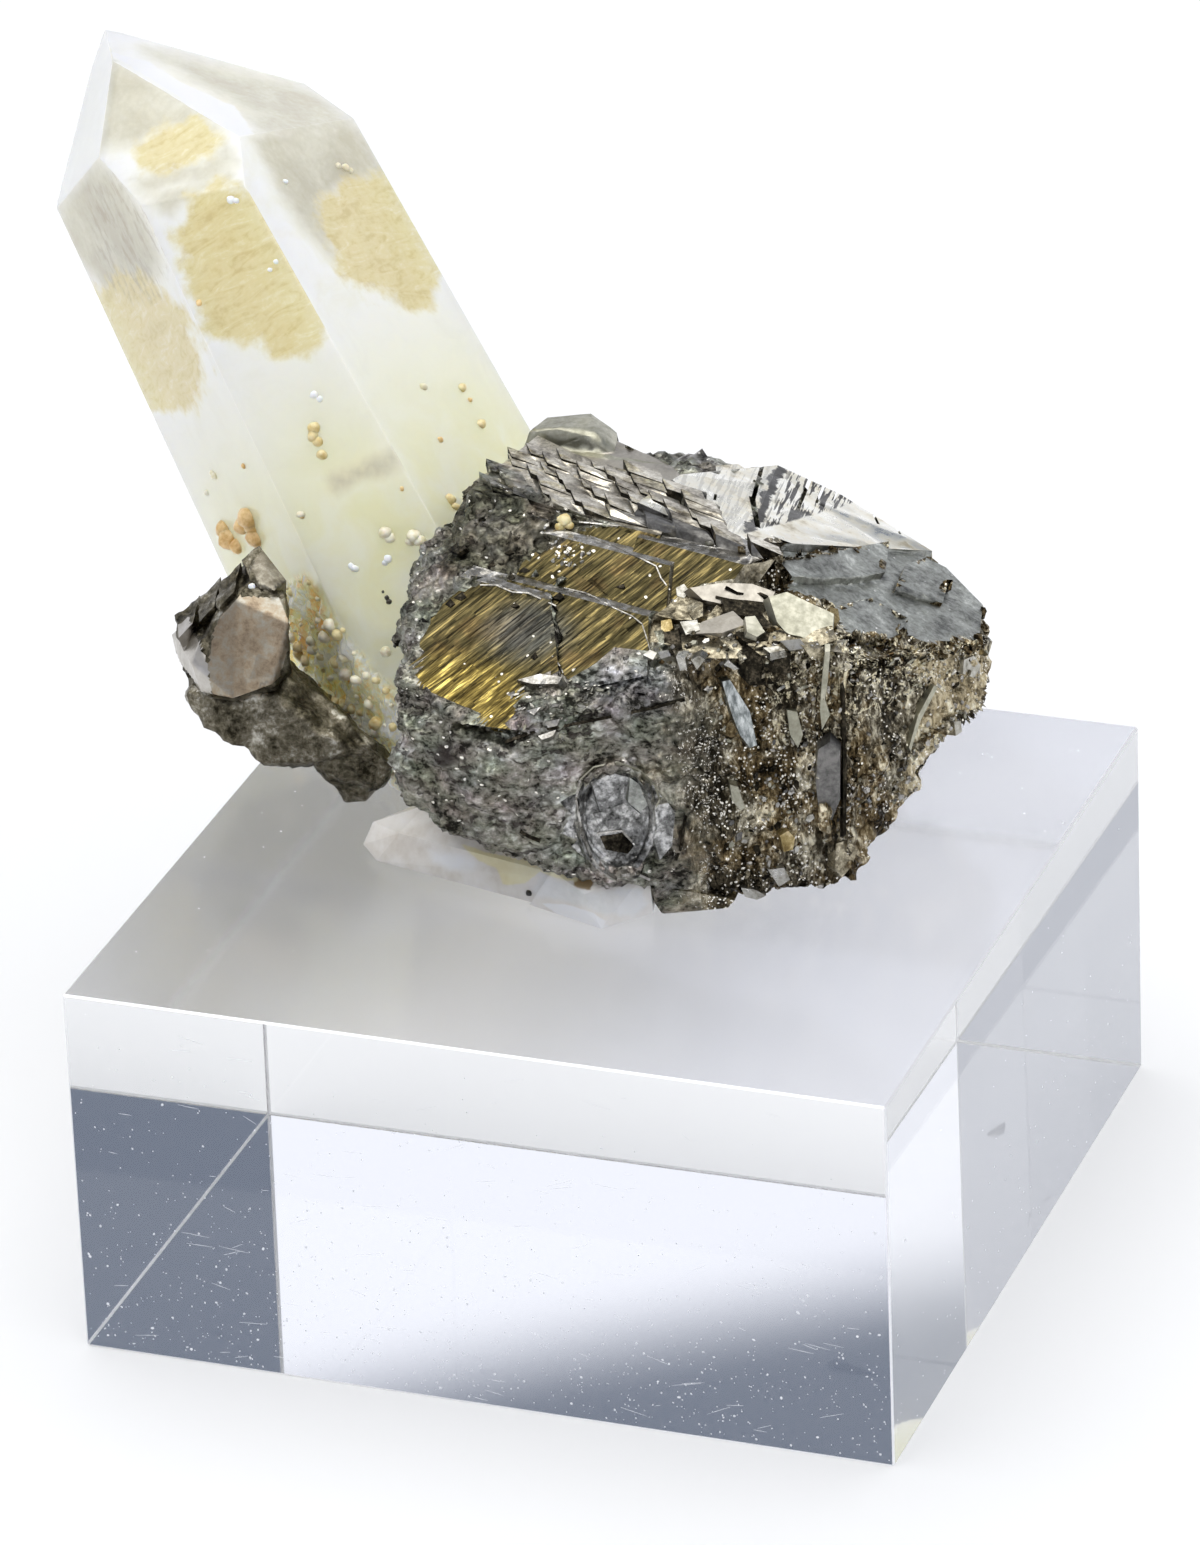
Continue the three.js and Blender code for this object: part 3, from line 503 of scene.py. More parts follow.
# ---------------------------------------------------------------- quartz foot
# The foot of the quartz under the large cluster: clearer, broken quartz with a few
# yellow and grey faces, grown into the metal and standing on the block.
BASE_YELLOWS = [(460, 843), (485, 852), (515, 857), (545, 858), (575, 862), (577, 882), (556, 878), (540, 872),
                (525, 884), (503, 884), (497, 868), (478, 860)]
BASE_BROWNS = [(577, 864), (597, 876), (591, 890), (574, 886)]
BASE_WHITES = [(540, 902), (566, 904), (592, 912), (611, 924), (604, 931), (580, 924), (556, 914)]
# The near-white patch at the foot's left is a painted highlight.
BASE_PAINTED_HIGHLIGHTS = [(430, 852), (452, 852), (474, 862), (474, 870), (450, 870), (434, 862)]
BASE_GREYS = [(540, 874), (556, 880), (592, 892), (640, 888), (650, 905), (636, 916), (604, 914), (566, 902), (530, 894)]

foot_quartz, tree, shader = new_look("foot_quartz")
spots = add_node(tree, "TexCoord").outputs["Object"]
clouds = noise(tree, spots, 320, 6, 0.6)
colour = ramp(tree, clouds, [(0.36, (0.95, 0.91, 0.86)), (0.5, (0.88, 0.84, 0.77)), (0.64, (0.74, 0.68, 0.59))])
# Painted highlight: a near-white patch at the foot's left.
colour = blend(tree, marked(tree, "painted_light", 0.4, 0.3), colour, (0.98, 0.98, 0.96))
colour = blend(tree, marked(tree, "grey", 0.6, 0.2), colour,
               ramp(tree, clouds, [(0.4, (0.95, 0.95, 0.93)), (0.6, (0.78, 0.78, 0.75))]))
colour = blend(tree, marked(tree, "brown", 0.3, 0.06), colour, (0.34, 0.24, 0.12))
colour = blend(tree, marked(tree, "yellow", 0.3, 0.06), colour,
               ramp(tree, clouds, [(0.4, (0.96, 0.9, 0.64)), (0.6, (0.86, 0.78, 0.48))]))
colour = blend(tree, marked(tree, "white", 0.2, 0.05), colour, (0.99, 0.99, 0.99))
set_inputs(tree, shader, {
    "Base Color": colour, "Roughness": ease(tree, clouds, 0.3, 0.7, 0.08, 0.25), "IOR": 1.544,
    "Transmission Weight": 0.2, "Subsurface Weight": 0.4, "Subsurface Radius": (1.0, 0.95, 0.85),
    "Subsurface Scale": 0.0015, "Normal": relief(tree, clouds, 0.3, 0.0003),
})

foot = copy_of("quartz_base", "quartz_foot")
edit_all(foot)
bpy.ops.mesh.dissolve_limited(angle_limit=0.01)
bpy.ops.object.mode_set(mode="OBJECT")
split_edges(foot, lambda middles: 0.0006)
TOWARD_CAMERA = tuple(CAMERA_BACK)
for name, outline in (("yellow", BASE_YELLOWS), ("white", BASE_WHITES), ("painted_light", BASE_PAINTED_HIGHLIGHTS), ("grey", BASE_GREYS),
                      ("brown", BASE_BROWNS)):
    mark(foot, name, [(TOWARD_CAMERA, outline)], least=0.1)
wear(foot, foot_quartz)
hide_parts("quartz_base")
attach(foot, "root")


# ---------------------------------------------------------------- large cluster
# Bronze pyrrhotite grown over the quartz: a striated golden face in low steps, a tiled
# roof, a bright and a grey crystal at the right, and rough broken metal below them.
GOLD_FACING = Vector((-0.08, -0.52, 0.85)).normalized()
GOLD_CORNER = Vector((-0.0093, -0.0075, 0.0373))
STRIAE = Vector((0.6165, 0.6446, 0.4524)).normalized()
CREAM_FACING = Vector((0.317, 0.196, 0.928)).normalized()
GREY_FACING = Vector((0.44, 0.117, 0.89)).normalized()
CREAM_ALONG = Vector((-0.187, 0.97, -0.151))
CREAM_ACROSS = CREAM_ALONG.cross(CREAM_FACING).normalized()
CREAM_PLACE = (0.0058, 0.009, 0.042)
TREAD_FACING = Vector((0.04, 0.03, 1)).normalized()
DIMPLE = (-0.0068, -0.0092, 0.0342)
IMPRINT = Vector((0.0031, -0.0075, 0.0306))
MM = 0.001


def uneven(tree, amount=0.0004, scale=900, stretch=(1, 1, 1)):
    """Object coordinates, pushed about a little and drawn out one way."""
    spots = in_frame(tree, (0, 0, 0), (0, 0, 0), stretch)
    push = add_node(tree, "TexNoise", {"Vector": spots, "Scale": scale, "Detail": 2.0}).outputs["Color"]
    push = add_node(tree, "VectorMath", {0: push, "Scale": amount}, operation="SCALE").outputs[0]
    return add_node(tree, "VectorMath", {0: spots, 1: push}, operation="ADD").outputs[0]


def crystal_grains(tree, where, scale, tilt):
    """Small crystal faces: the surface's facing, a little different from grain to grain."""
    chances = add_node(tree, "TexVoronoi", {"Vector": where, "Scale": scale}).outputs["Color"]
    nudge = add_node(tree, "VectorMath", {0: chances, 1: (0.5, 0.5, 0.5)}, operation="SUBTRACT").outputs[0]
    nudge = add_node(tree, "VectorMath", {0: nudge, "Scale": tilt}, operation="SCALE").outputs[0]
    facing = add_node(tree, "NewGeometry").outputs["Normal"]
    facing = add_node(tree, "VectorMath", {0: facing, 1: nudge}, operation="ADD").outputs[0]
    return add_node(tree, "VectorMath", {0: facing}, operation="NORMALIZE").outputs[0]


def painted_glints(tree, where, scale, share, size=0.3):
    """Painted highlights: 1 inside the share of the grains painted bright, as if their faces caught the light."""
    cells = add_node(tree, "TexVoronoi", {"Vector": where, "Scale": scale})
    chance = add_node(tree, "SeparateColor", {0: cells.outputs["Color"]}).outputs[1]
    inside = ease(tree, cells.outputs["Distance"], size, size * 0.6)
    return calc(tree, "MULTIPLY", inside, calc(tree, "GREATER_THAN", share, chance))


def near(tree, place, reach, whole=0.0):
    """1 close to a place on the object and 0 beyond its reach."""
    away = add_node(tree, "VectorMath", {0: in_frame(tree, place, (0, 0, 0), reach)}, operation="LENGTH")
    return ease(tree, away.outputs["Value"], 1.0, whole)


def metal(name, tones, scale, roughness, bump, stretch=(1, 1, 1), tilt=0.12, painted_glint_share=0.0):
    """A natural metallic face: broad and fine blotches over a fine relief, and, where a share is given, a few grains
    painted near white as highlights.
    """
    look, tree, shader = new_look(name)
    spots = uneven(tree, 0.0004, 900, stretch)
    fine = noise(tree, spots, scale * 6, 5, 0.7)
    tone = mixed(tree, noise(tree, spots, scale, 6, 0.6), fine)
    colour = ramp(tree, tone, tones)
    shine = ease(tree, fine, 0.35, 0.65, *roughness)
    # Painted highlights: a share of the grains is coloured near white and made smoother.
    if painted_glint_share:
        bright = painted_glints(tree, spots, 3200, painted_glint_share)
        colour = blend(tree, bright, colour, (0.95, 0.93, 0.86))
        shine = calc(tree, "MULTIPLY", shine, ease(tree, bright, 0, 1, 1, 0.4))
    set_inputs(tree, shader, {
        "Base Color": colour, "Metallic": 1.0, "Roughness": shine,
        "Normal": relief(tree, tone, *bump, under=crystal_grains(tree, spots, scale * 3, tilt)),
    })
    return look


def striae_frame(tree, longer, finer):
    turn = turn_of(STRIAE, GOLD_FACING.cross(STRIAE), GOLD_FACING)
    return in_frame(tree, tuple(GOLD_CORNER), turn, (longer, finer, finer))


golden, tree, shader = new_look("golden_striae")
fine_lines = noise(tree, striae_frame(tree, 5, 0.4), 3000, 4, 0.65)
long_lines = noise(tree, striae_frame(tree, 7, 0.7), 1500, 4, 0.6)
patches = noise(tree, uneven(tree), 330, 5, 0.6)
lines = mixed(tree, long_lines, fine_lines, 0.55)
olive = ramp(tree, lines, [(0.37, (0.012, 0.009, 0.004)), (0.46, (0.06, 0.05, 0.022)),
                           (0.54, (0.11, 0.088, 0.038)), (0.63, (0.36, 0.28, 0.11))])
bronze = ramp(tree, lines, [(0.38, (0.025, 0.017, 0.005)), (0.46, (0.11, 0.08, 0.024)),
                            (0.53, (0.21, 0.155, 0.045)), (0.61, (0.8, 0.62, 0.18))])
rust = ramp(tree, lines, [(0.36, (0.016, 0.01, 0.004)), (0.5, (0.1, 0.068, 0.03)), (0.66, (0.34, 0.23, 0.09))])
colour = blend(tree, calc(tree, "MULTIPLY", ease(tree, patches, 0.5, 0.62), 0.6), olive, rust)
# Brighter bronze in random patches and toward the lower-left corner, where it is a painted highlight.
bronze_and_painted_highlight_share = calc(tree, "MULTIPLY_ADD", patches, 1.6, calc(tree, "MULTIPLY_ADD", near(tree, (-0.0066, -0.008, 0.0373), (0.0085, 0.0055, 0.006)), 1.5, -1.15))
colour = blend(tree, ease(tree, bronze_and_painted_highlight_share, 0.0, 0.75), colour, bronze)
sooty_share = calc(tree, "MULTIPLY", near(tree, (-0.0035, -0.0036, 0.0402), (0.0038, 0.003, 0.003), 0.3), 0.75)
colour = blend(tree, sooty_share, colour, ramp(tree, fine_lines, [(0.38, (0.02, 0.021, 0.02)), (0.62, (0.125, 0.13, 0.12))]))
# Painted highlights: a patch of grains coloured near white, and a few over the whole face.
painted_silver_glint_share = calc(tree, "MULTIPLY", near(tree, (-0.0031, 0.0026, 0.043), (0.0023, 0.002, 0.0016), 0.2), 0.75)
bright = painted_glints(tree, uneven(tree), 3600, calc(tree, "ADD", painted_silver_glint_share, 0.025), 0.42)
colour = blend(tree, bright, colour, (0.97, 0.92, 0.8))
set_inputs(tree, shader, {
    "Base Color": colour, "Metallic": 1.0, "Roughness": ease(tree, fine_lines, 0.35, 0.65, 0.46, 0.26),
    "Normal": relief(tree, lines, 0.6, 0.00006, under=crystal_grains(tree, striae_frame(tree, 9, 0.5), 3000, 0.16)),
})

# The tread look is light metal for steps that face up and for painted highlights along edges. The riser look is
# near-black metal for painted shade on step sides, in notches and in dark strips, and for dark flakes.
bright_and_highlight_look = metal("bright_tread", [(0.35, (0.14, 0.13, 0.11)), (0.5, (0.42, 0.4, 0.36)), (0.65, (0.8, 0.78, 0.74))],
                   900, (0.4, 0.25), (0.5, 0.00006), tilt=0.3)
roof_look = metal("roof_grey", [(0.38, (0.15, 0.13, 0.1)), (0.49, (0.56, 0.51, 0.41)), (0.6, (1.0, 0.95, 0.82))],
                  500, (0.44, 0.28), (0.5, 0.00007), tilt=0.14)
dark_and_shade_look = metal("dark_riser", [(0.4, (0.006, 0.005, 0.004)), (0.52, (0.03, 0.026, 0.018)), (0.62, (0.12, 0.1, 0.07))],
                   900, (0.6, 0.45), (0.5, 0.00006), tilt=0.2)
shoulder_look = metal("smooth_shoulder", [(0.38, (0.28, 0.258, 0.213)), (0.5, (0.406, 0.374, 0.319)), (0.62, (0.532, 0.496, 0.425))],
                      260, (0.42, 0.34), (0.25, 0.00005), tilt=0.04)
knob_look = metal("pale_knob", [(0.36, (0.269, 0.259, 0.2)), (0.5, (0.403, 0.391, 0.305)), (0.64, (0.582, 0.561, 0.46))],
                  320, (0.5, 0.36), (0.35, 0.00008), tilt=0.05)
grey_look = metal("smooth_grey", [(0.36, (0.11, 0.112, 0.105)), (0.47, (0.3, 0.305, 0.275)), (0.55, (0.42, 0.43, 0.39)), (0.66, (0.8, 0.81, 0.74))], 420, (0.52, 0.32), (0.8, 0.00014), tilt=0.12, painted_glint_share=0.01)
plate_look = metal("broken_plate", [(0.38, (0.0525, 0.043, 0.0264)), (0.48, (0.231, 0.2, 0.136)), (0.62, (0.609, 0.55, 0.405))],
                   700, (0.42, 0.22), (0.6, 0.0001), tilt=0.3, painted_glint_share=0.05)
pale_look = metal("pale_plate", [(0.36, (0.14, 0.125, 0.095)), (0.46, (0.4, 0.385, 0.335)), (0.62, (0.62, 0.61, 0.57))],
                  420, (0.42, 0.25), (0.5, 0.0001), tilt=0.1)
imprint_look = metal("imprint_grey", [(0.4, (0.05, 0.049, 0.046)), (0.5, (0.25, 0.248, 0.235)), (0.6, (0.75, 0.74, 0.71))],
                     480, (0.5, 0.28), (0.6, 0.00012), tilt=0.2, painted_glint_share=0.05)
blue_look = metal("blue_slab", [(0.38, (0.05, 0.054, 0.052)), (0.5, (0.22, 0.24, 0.235)), (0.6, (0.62, 0.65, 0.64))],
                  600, (0.42, 0.25), (0.5, 0.00008), (1, 1, 2.5), tilt=0.1)
brown_look = metal("brown_metal", [(0.38, (0.03, 0.0196, 0.00875)), (0.5, (0.128, 0.084, 0.04)), (0.64, (0.39, 0.28, 0.138))],
                   700, (0.5, 0.3), (0.6, 0.0001), tilt=0.25, painted_glint_share=0.06)
gold_grain = metal("golden_grain", [(0.36, (0.16, 0.11, 0.04)), (0.5, (0.42, 0.32, 0.14)), (0.64, (0.8, 0.68, 0.42))],
                   700, (0.5, 0.3), (0.6, 0.0001), tilt=0.25)

# The bright crystal is crossed by clefts and by close parallel stripes to its right, both painted near black: painted
# shade in them, over the small dip that the bump gives them.
cream_look, tree, shader = new_look("bright_cream")
cream_turn = turn_of(CREAM_ACROSS, CREAM_FACING.cross(CREAM_ACROSS), CREAM_FACING)
beside = add_node(tree, "SeparateXYZ", {0: in_frame(tree, CREAM_PLACE, cream_turn)}).outputs
blotch = noise(tree, uneven(tree), 500, 6, 0.65)
stripes = noise(tree, in_frame(tree, CREAM_PLACE, cream_turn, (0.35, 6, 6)), 1400, 3, 0.6)
border = calc(tree, "MULTIPLY_ADD", beside[0], 0.926, calc(tree, "MULTIPLY", beside[1], -0.378))
above_band = ease(tree, calc(tree, "MULTIPLY_ADD", blotch, 0.0006, border), 0.0004, 0.0002)
across_cleft = calc(tree, "MULTIPLY_ADD", blotch, 0.0022, beside[0])
cleft = ease(tree, calc(tree, "ABSOLUTE", calc(tree, "SUBTRACT", across_cleft, 0.0014)), 0.0004, 0.00025)
striped = calc(tree, "MULTIPLY", ease(tree, beside[0], 0.0006, 0.0012, 0.25, 1.0), ease(tree, stripes, 0.5, 0.535))
dark = calc(tree, "MULTIPLY", above_band, calc(tree, "MAXIMUM", cleft, striped))
cream = ramp(tree, blotch, [(0.33, (0.62, 0.55, 0.4)), (0.43, (0.94, 0.89, 0.74)), (0.56, (1.0, 0.98, 0.88))])
cream = blend(tree, calc(tree, "MULTIPLY", dark, 0.98), cream, (0.015, 0.012, 0.008))
set_inputs(tree, shader, {
    "Base Color": cream, "Metallic": 1.0, "Roughness": ease(tree, blotch, 0.35, 0.65, 0.42, 0.24),
    "Normal": relief(tree, calc(tree, "SUBTRACT", blotch, dark), 0.4, 0.00006,
                     under=crystal_grains(tree, uneven(tree), 900, 0.05)),
})

# The broken metal is sooty with blue and red tarnish at the front, and brown at the right, where
# many grains are painted bright as highlights and wavy painted highlights run below the grey crystal.
rough_look, tree, shader = new_look("rough_pyrrhotite")
flow = uneven(tree, 0.0006, 700, (1.7, 1.7, 1))
upright = uneven(tree, 0.0006, 700, (1, 1, 2.6))
spots = uneven(tree, 0.0005, 800)
parts = add_node(tree, "SeparateXYZ", {0: in_frame(tree, (0, 0, 0), (0, 0, 0))}).outputs
broad = noise(tree, spots, 420, 6, 0.65)
right_share = ease(tree, calc(tree, "MULTIPLY_ADD", broad, 0.008, parts[0]), 0.0085, 0.0125)
fine = blend(tree, right_share, noise(tree, flow, 3000, 5, 0.66), noise(tree, upright, 3000, 6, 0.75))
tone = mixed(tree, blend(tree, right_share, broad, noise(tree, upright, 560, 6, 0.65)), fine, 0.5)
hues = add_node(tree, "TexNoise", {"Vector": flow, "Scale": 700.0, "Detail": 5.0}).outputs["Color"]
sooty = ramp(tree, tone, [(0.41, (0.02, 0.019, 0.014)), (0.47, (0.175, 0.168, 0.134)),
                          (0.54, (0.31, 0.3, 0.25)), (0.65, (0.7, 0.69, 0.62))])
sooty = blend(tree, 0.18, sooty, hues, "OVERLAY")
brown = ramp(tree, tone, [(0.42, (0.01, 0.007, 0.003)), (0.48, (0.1, 0.07, 0.032)),
                          (0.54, (0.28, 0.215, 0.115)), (0.6, (1.0, 0.9, 0.66))])
brown = blend(tree, ease(tree, noise(tree, spots, 260, 4), 0.44, 0.56), brown, ramp(tree, tone, [
    (0.42, (0.014, 0.011, 0.006)), (0.5, (0.115, 0.096, 0.062)), (0.6, (0.78, 0.72, 0.55))]))
tan = ramp(tree, tone, [(0.4, (0.1, 0.08, 0.045)), (0.5, (0.55, 0.46, 0.29)), (0.6, (1.0, 0.95, 0.74))])
colour = blend(tree, right_share, sooty, blend(tree, marked(tree, "tan", 0.6, 0.15), brown, tan))
# Crack lines and the dimple are painted near black: painted shade in them, over the small dip that the bump gives them.
crack_shade = calc(tree, "MULTIPLY", ease(tree, noise(tree, flow, 1900, 4, 0.6, 0.6), 0.42, 0.36),
              calc(tree, "SUBTRACT", 0.85, right_share))
crack_shade = calc(tree, "MAXIMUM", crack_shade, near(tree, DIMPLE, (0.0013, 0.0013, 0.0011), 0.4))
colour = blend(tree, calc(tree, "MULTIPLY", crack_shade, 0.85), colour, (0.035, 0.026, 0.024))
blue_share = near(tree, (0.0037, -0.0063, 0.0385), (0.0045, 0.003, 0.0026), 0.3)
colour = blend(tree, calc(tree, "MULTIPLY", blue_share, 0.8), colour, (0.82, 0.85, 1.05), "MULTIPLY")
# Painted shade: the left shoulder below the roof is darkened.
colour = blend(tree, marked(tree, "painted_shade", 0.8, 0.3), colour, (0.5, 0.48, 0.43), "MULTIPLY")
# Painted highlights: wavy near-gold lines on the right wall below the grey crystal.
wavy = add_node(tree, "TexWave", {"Vector": spots, "Scale": 330.0, "Distortion": 14.0, "Detail": 4.0,
                                  "Detail Scale": 2.2, "Detail Roughness": 0.65}, bands_direction="Z").outputs[1]
wall_share = calc(tree, "MULTIPLY", ease(tree, parts[2], 0.0335, 0.0352), ease(tree, parts[0], 0.0105, 0.0125))
painted_glitter_share = calc(tree, "MULTIPLY", wall_share, ease(tree, calc(tree, "MULTIPLY", wavy, fine), 0.42, 0.5))
colour = blend(tree, painted_glitter_share, colour, (0.8, 0.73, 0.52))
# Painted highlights: many grains at the right painted near white, and a few at the front.
dense = ease(tree, noise(tree, upright, 420, 3, 0.5), 0.45, 0.6, 0.08, 0.65)
share = calc(tree, "MULTIPLY_ADD", right_share, calc(tree, "SUBTRACT", dense, 0.05), 0.05)
bright = painted_glints(tree, blend(tree, right_share, flow, spots), 4600, share, 0.42)
colour = blend(tree, bright, colour, (1.0, 0.96, 0.84))
set_inputs(tree, shader, {
    "Base Color": colour, "Metallic": 0.95,
    "Roughness": calc(tree, "MULTIPLY", ease(tree, fine, 0.35, 0.65, 0.52, 0.3), ease(tree, bright, 0, 1, 1, 0.4)),
    "Normal": relief(tree, calc(tree, "SUBTRACT", tone, calc(tree, "MULTIPLY", crack_shade, 0.4)), 1.0, 0.00018,
                     under=crystal_grains(tree, spots, 3400, 0.42)),
})

slope_look = metal("smooth_slope", [(0.38, (0.07, 0.066, 0.06)), (0.5, (0.15, 0.145, 0.135)), (0.62, (0.27, 0.26, 0.24))],
                   420, (0.45, 0.32), (0.4, 0.00006), tilt=0.08)
LOOKS = {"rough": rough_look, "golden": golden, "tread": bright_and_highlight_look, "roof": roof_look, "riser": dark_and_shade_look,
         "shoulder": shoulder_look, "knob": knob_look, "cream": cream_look, "grey": grey_look,
         "plate": plate_look, "imprint": imprint_look, "slope": slope_look}
PARTS = list(LOOKS)


def part_of(middle, normal):
    """Which part of the cluster a face belongs to, by its place in millimetres and its facing."""
    x, y, z = middle / MM
    if normal.dot(GOLD_FACING) > 0.9985 and z > 35.5 and y < 6.2:
        return "golden"
    if (middle - IMPRINT).length < 3.1 * MM and y < -5.8:
        return "imprint"
    # Steps that face up get the light tread look: a lit copy of the metal.
    if normal.dot(TREAD_FACING) > 0.9995 and z > 41 and y < 6.2:
        return "tread"
    if normal.dot(CREAM_FACING) > 0.9995 and y > 6:
        return "cream"
    if normal.dot(GREY_FACING) > 0.9995 and z > 30:
        return "grey"
    if z > 43.3 and y > 14.7 or (z > 42.9 and y > 14.9 and -10.7 < x < -4.5):
        return "knob"
    # Roof tiles that face up get the light grey, and their sides the near-black riser look: painted shade on the sides.
    if z > 43.55 and y < 14.8:
        return "roof" if normal.z > 0.9 else "riser"
    if z > 42.2 and y > 8.5 and x < 2.6 and normal.z > 0.85:
        return "shoulder"
    if z > 40.1 and 3.8 < x < 15.3 and -5.3 < y < 2.6 and normal.z > 0.2:
        return "plate"
    return "rough"


def edit_faces(piece, chosen, mode="FACE"):
    """Opens the piece with only those faces selected."""
    mesh = piece.data
    bpy.ops.object.mode_set(mode="OBJECT")
    bpy.context.view_layer.objects.active = piece
    mesh.vertices.foreach_set("select", np.zeros(len(mesh.vertices), bool))
    mesh.edges.foreach_set("select", np.zeros(len(mesh.edges), bool))
    mesh.polygons.foreach_set("select", chosen)
    bpy.context.tool_settings.mesh_select_mode = (False, False, True)
    bpy.ops.object.mode_set(mode="EDIT")


def material_of_faces(piece):
    found = np.zeros(len(piece.data.polygons), np.int32)
    piece.data.polygons.foreach_get("material_index", found)
    return found


cluster = copy_of("pyrrhotite_cluster", "pyrrhotite_crystals")
wear(cluster, *LOOKS.values())
for face in cluster.data.polygons:
    face.material_index = PARTS.index(part_of(face.center, face.normal))
GOLD_INDEX = PARTS.index("golden")

# Striae: the golden faces are ruled by close lines and a few cross lines, and where two
# lines meet the metal is a little higher or lower.
across_striae = GOLD_FACING.cross(STRIAE)
chance = random.Random(7)
ruled = [(across_striae, GOLD_CORNER, -0.006, 0.0155, 0.00011, 0.00034), (STRIAE, GOLD_CORNER, -0.004, 0.022, 0.0006, 0.0019)]
rows = []
for way, origin, first, last, least, most in ruled:
    places = []
    place = first
    while place < last:
        places.append(place)
        edit_faces(cluster, material_of_faces(cluster) == GOLD_INDEX)
        bpy.ops.mesh.bisect(plane_co=origin + way * place, plane_no=way)
        bpy.ops.object.mode_set(mode="OBJECT")
        place += chance.uniform(least, most)
    rows.append(np.array(places))
mesh = cluster.data
bordering = set()
inner = set()
for face in mesh.polygons:
    (inner if face.material_index == GOLD_INDEX else bordering).update(face.vertices)
heights = np.random.default_rng(3).normal(0, 0.00004, (len(rows[0]) + 1, len(rows[1]) + 1))
for index in sorted(inner - bordering):
    vertex = mesh.vertices[index]
    offset = vertex.co - GOLD_CORNER
    line = int(np.argmin(abs(rows[0] - offset.dot(across_striae))))
    cross_line = int(np.argmin(abs(rows[1] - offset.dot(STRIAE))))
    vertex.co += GOLD_FACING * float(np.clip(heights[line, cross_line], -0.00008, 0.00008))

bpy.ops.object.mode_set(mode="EDIT")
bpy.ops.mesh.select_all(action="SELECT")
bpy.ops.mesh.quads_convert_to_tris(quad_method="BEAUTY", ngon_method="BEAUTY")
bpy.ops.object.mode_set(mode="OBJECT")


# Rough metal: its faces are divided finely and then raised and sunk in lumps and grains.
def faces_of(piece, *parts):
    return np.isin(material_of_faces(piece), [PARTS.index(part) for part in parts])


def finest_edge(middles):
    """Finer toward the front, where the metal is most broken."""
    return np.where(middles @ np.array(CAMERA_BACK) > 0.008, 0.00034, 0.0007)


GOLD_OUTLINE = [(417, 683), (420, 650), (428, 612), (455, 594), (484, 582), (512, 570), (535, 555), (560, 545),
                (590, 527), (640, 526), (700, 538), (760, 554), (794, 566), (793, 594), (752, 587), (722, 584),
                (690, 589), (672, 600), (660, 615), (652, 652), (620, 655), (600, 660), (576, 673), (536, 674),
                (522, 688), (518, 702), (502, 738), (490, 728), (460, 704)]
ROOF_ROUGH = [(440, 570), (470, 530), (466, 440), (498, 452), (520, 478), (560, 506), (600, 526), (560, 545), (500, 575)]
# Where the left shoulder below the roof is darkened as painted shade.
PAINTED_SHADE_OUTLINE = [(436, 580), (452, 480), (470, 462), (505, 478), (545, 505), (600, 522), (640, 530), (560, 548), (500, 582)]
ROOF_SLOPE = [(640, 508), (660, 505), (700, 530), (740, 545), (792, 562), (794, 572), (760, 560), (700, 546), (648, 528),
              (622, 520)]
GREY_OUTLINE = [(775, 545), (800, 530), (886, 525), (940, 535), (975, 565), (992, 600), (1000, 640), (985, 641),
                (960, 636), (930, 643), (905, 634), (880, 643), (850, 634), (838, 618), (832, 600), (790, 590)]

split_edges(cluster, lambda middles: 0.0008, lambda piece: faces_of(piece, "grey", "knob", "shoulder"))
split_edges(cluster, finest_edge, lambda piece: faces_of(piece, "rough", "imprint"))
mesh = cluster.data
centres = np.array([face.center for face in mesh.polygons])
toward = np.array([face.normal for face in mesh.polygons]) @ np.array(CAMERA_BACK)
seen = seen_in_frame(centres)
for part, outline, within in (("golden", GOLD_OUTLINE, False), ("roof", ROOF_ROUGH, True), ("riser", ROOF_ROUGH, True),
                              ("grey", GREY_OUTLINE, False)):
    lost = faces_of(cluster, part) & (toward > 0.05) & ((depth_inside(seen, outline) > 0) == within)
    for index in np.nonzero(lost)[0]:
        mesh.polygons[int(index)].material_index = PARTS.index("rough")

inner = faces_of(cluster, "rough") & (toward > 0.25) & (depth_inside(seen, GREY_OUTLINE) > 5)
for index in np.nonzero(inner & (centres[:, 2] > 0.0365))[0]:
    mesh.polygons[int(index)].material_index = PARTS.index("grey")
smooth_roof = faces_of(cluster, "roof", "riser") & (toward > 0.05) & (depth_inside(seen, ROOF_SLOPE) > 0)
for index in np.nonzero(smooth_roof)[0]:
    mesh.polygons[int(index)].material_index = PARTS.index("slope")

rough = faces_of(cluster, "rough", "imprint")
gentle = faces_of(cluster, "grey", "knob", "shoulder")
free = np.ones(len(mesh.vertices), bool)
soft = np.ones(len(mesh.vertices), bool)
for face, is_rough, is_gentle in zip(mesh.polygons, rough, gentle):
    if not is_rough:
        free[list(face.vertices)] = False
    if not is_gentle:
        soft[list(face.vertices)] = False
mark(cluster, "tan", [(CAMERA_BACK, [(905, 655), (1000, 645), (1000, 700), (968, 745), (955, 775), (912, 812), (900, 790),
                                     (915, 745), (935, 690)])], least=0.0)
mark(cluster, "painted_shade", [(CAMERA_BACK, PAINTED_SHADE_OUTLINE)], least=-0.2)
lumpy = cluster.vertex_groups.new(name="lumpy")
broken = cluster.vertex_groups.new(name="broken")
smooth = cluster.vertex_groups.new(name="smooth")
smooth.add([int(index) for index in np.nonzero(soft)[0]], 1.0, "REPLACE")
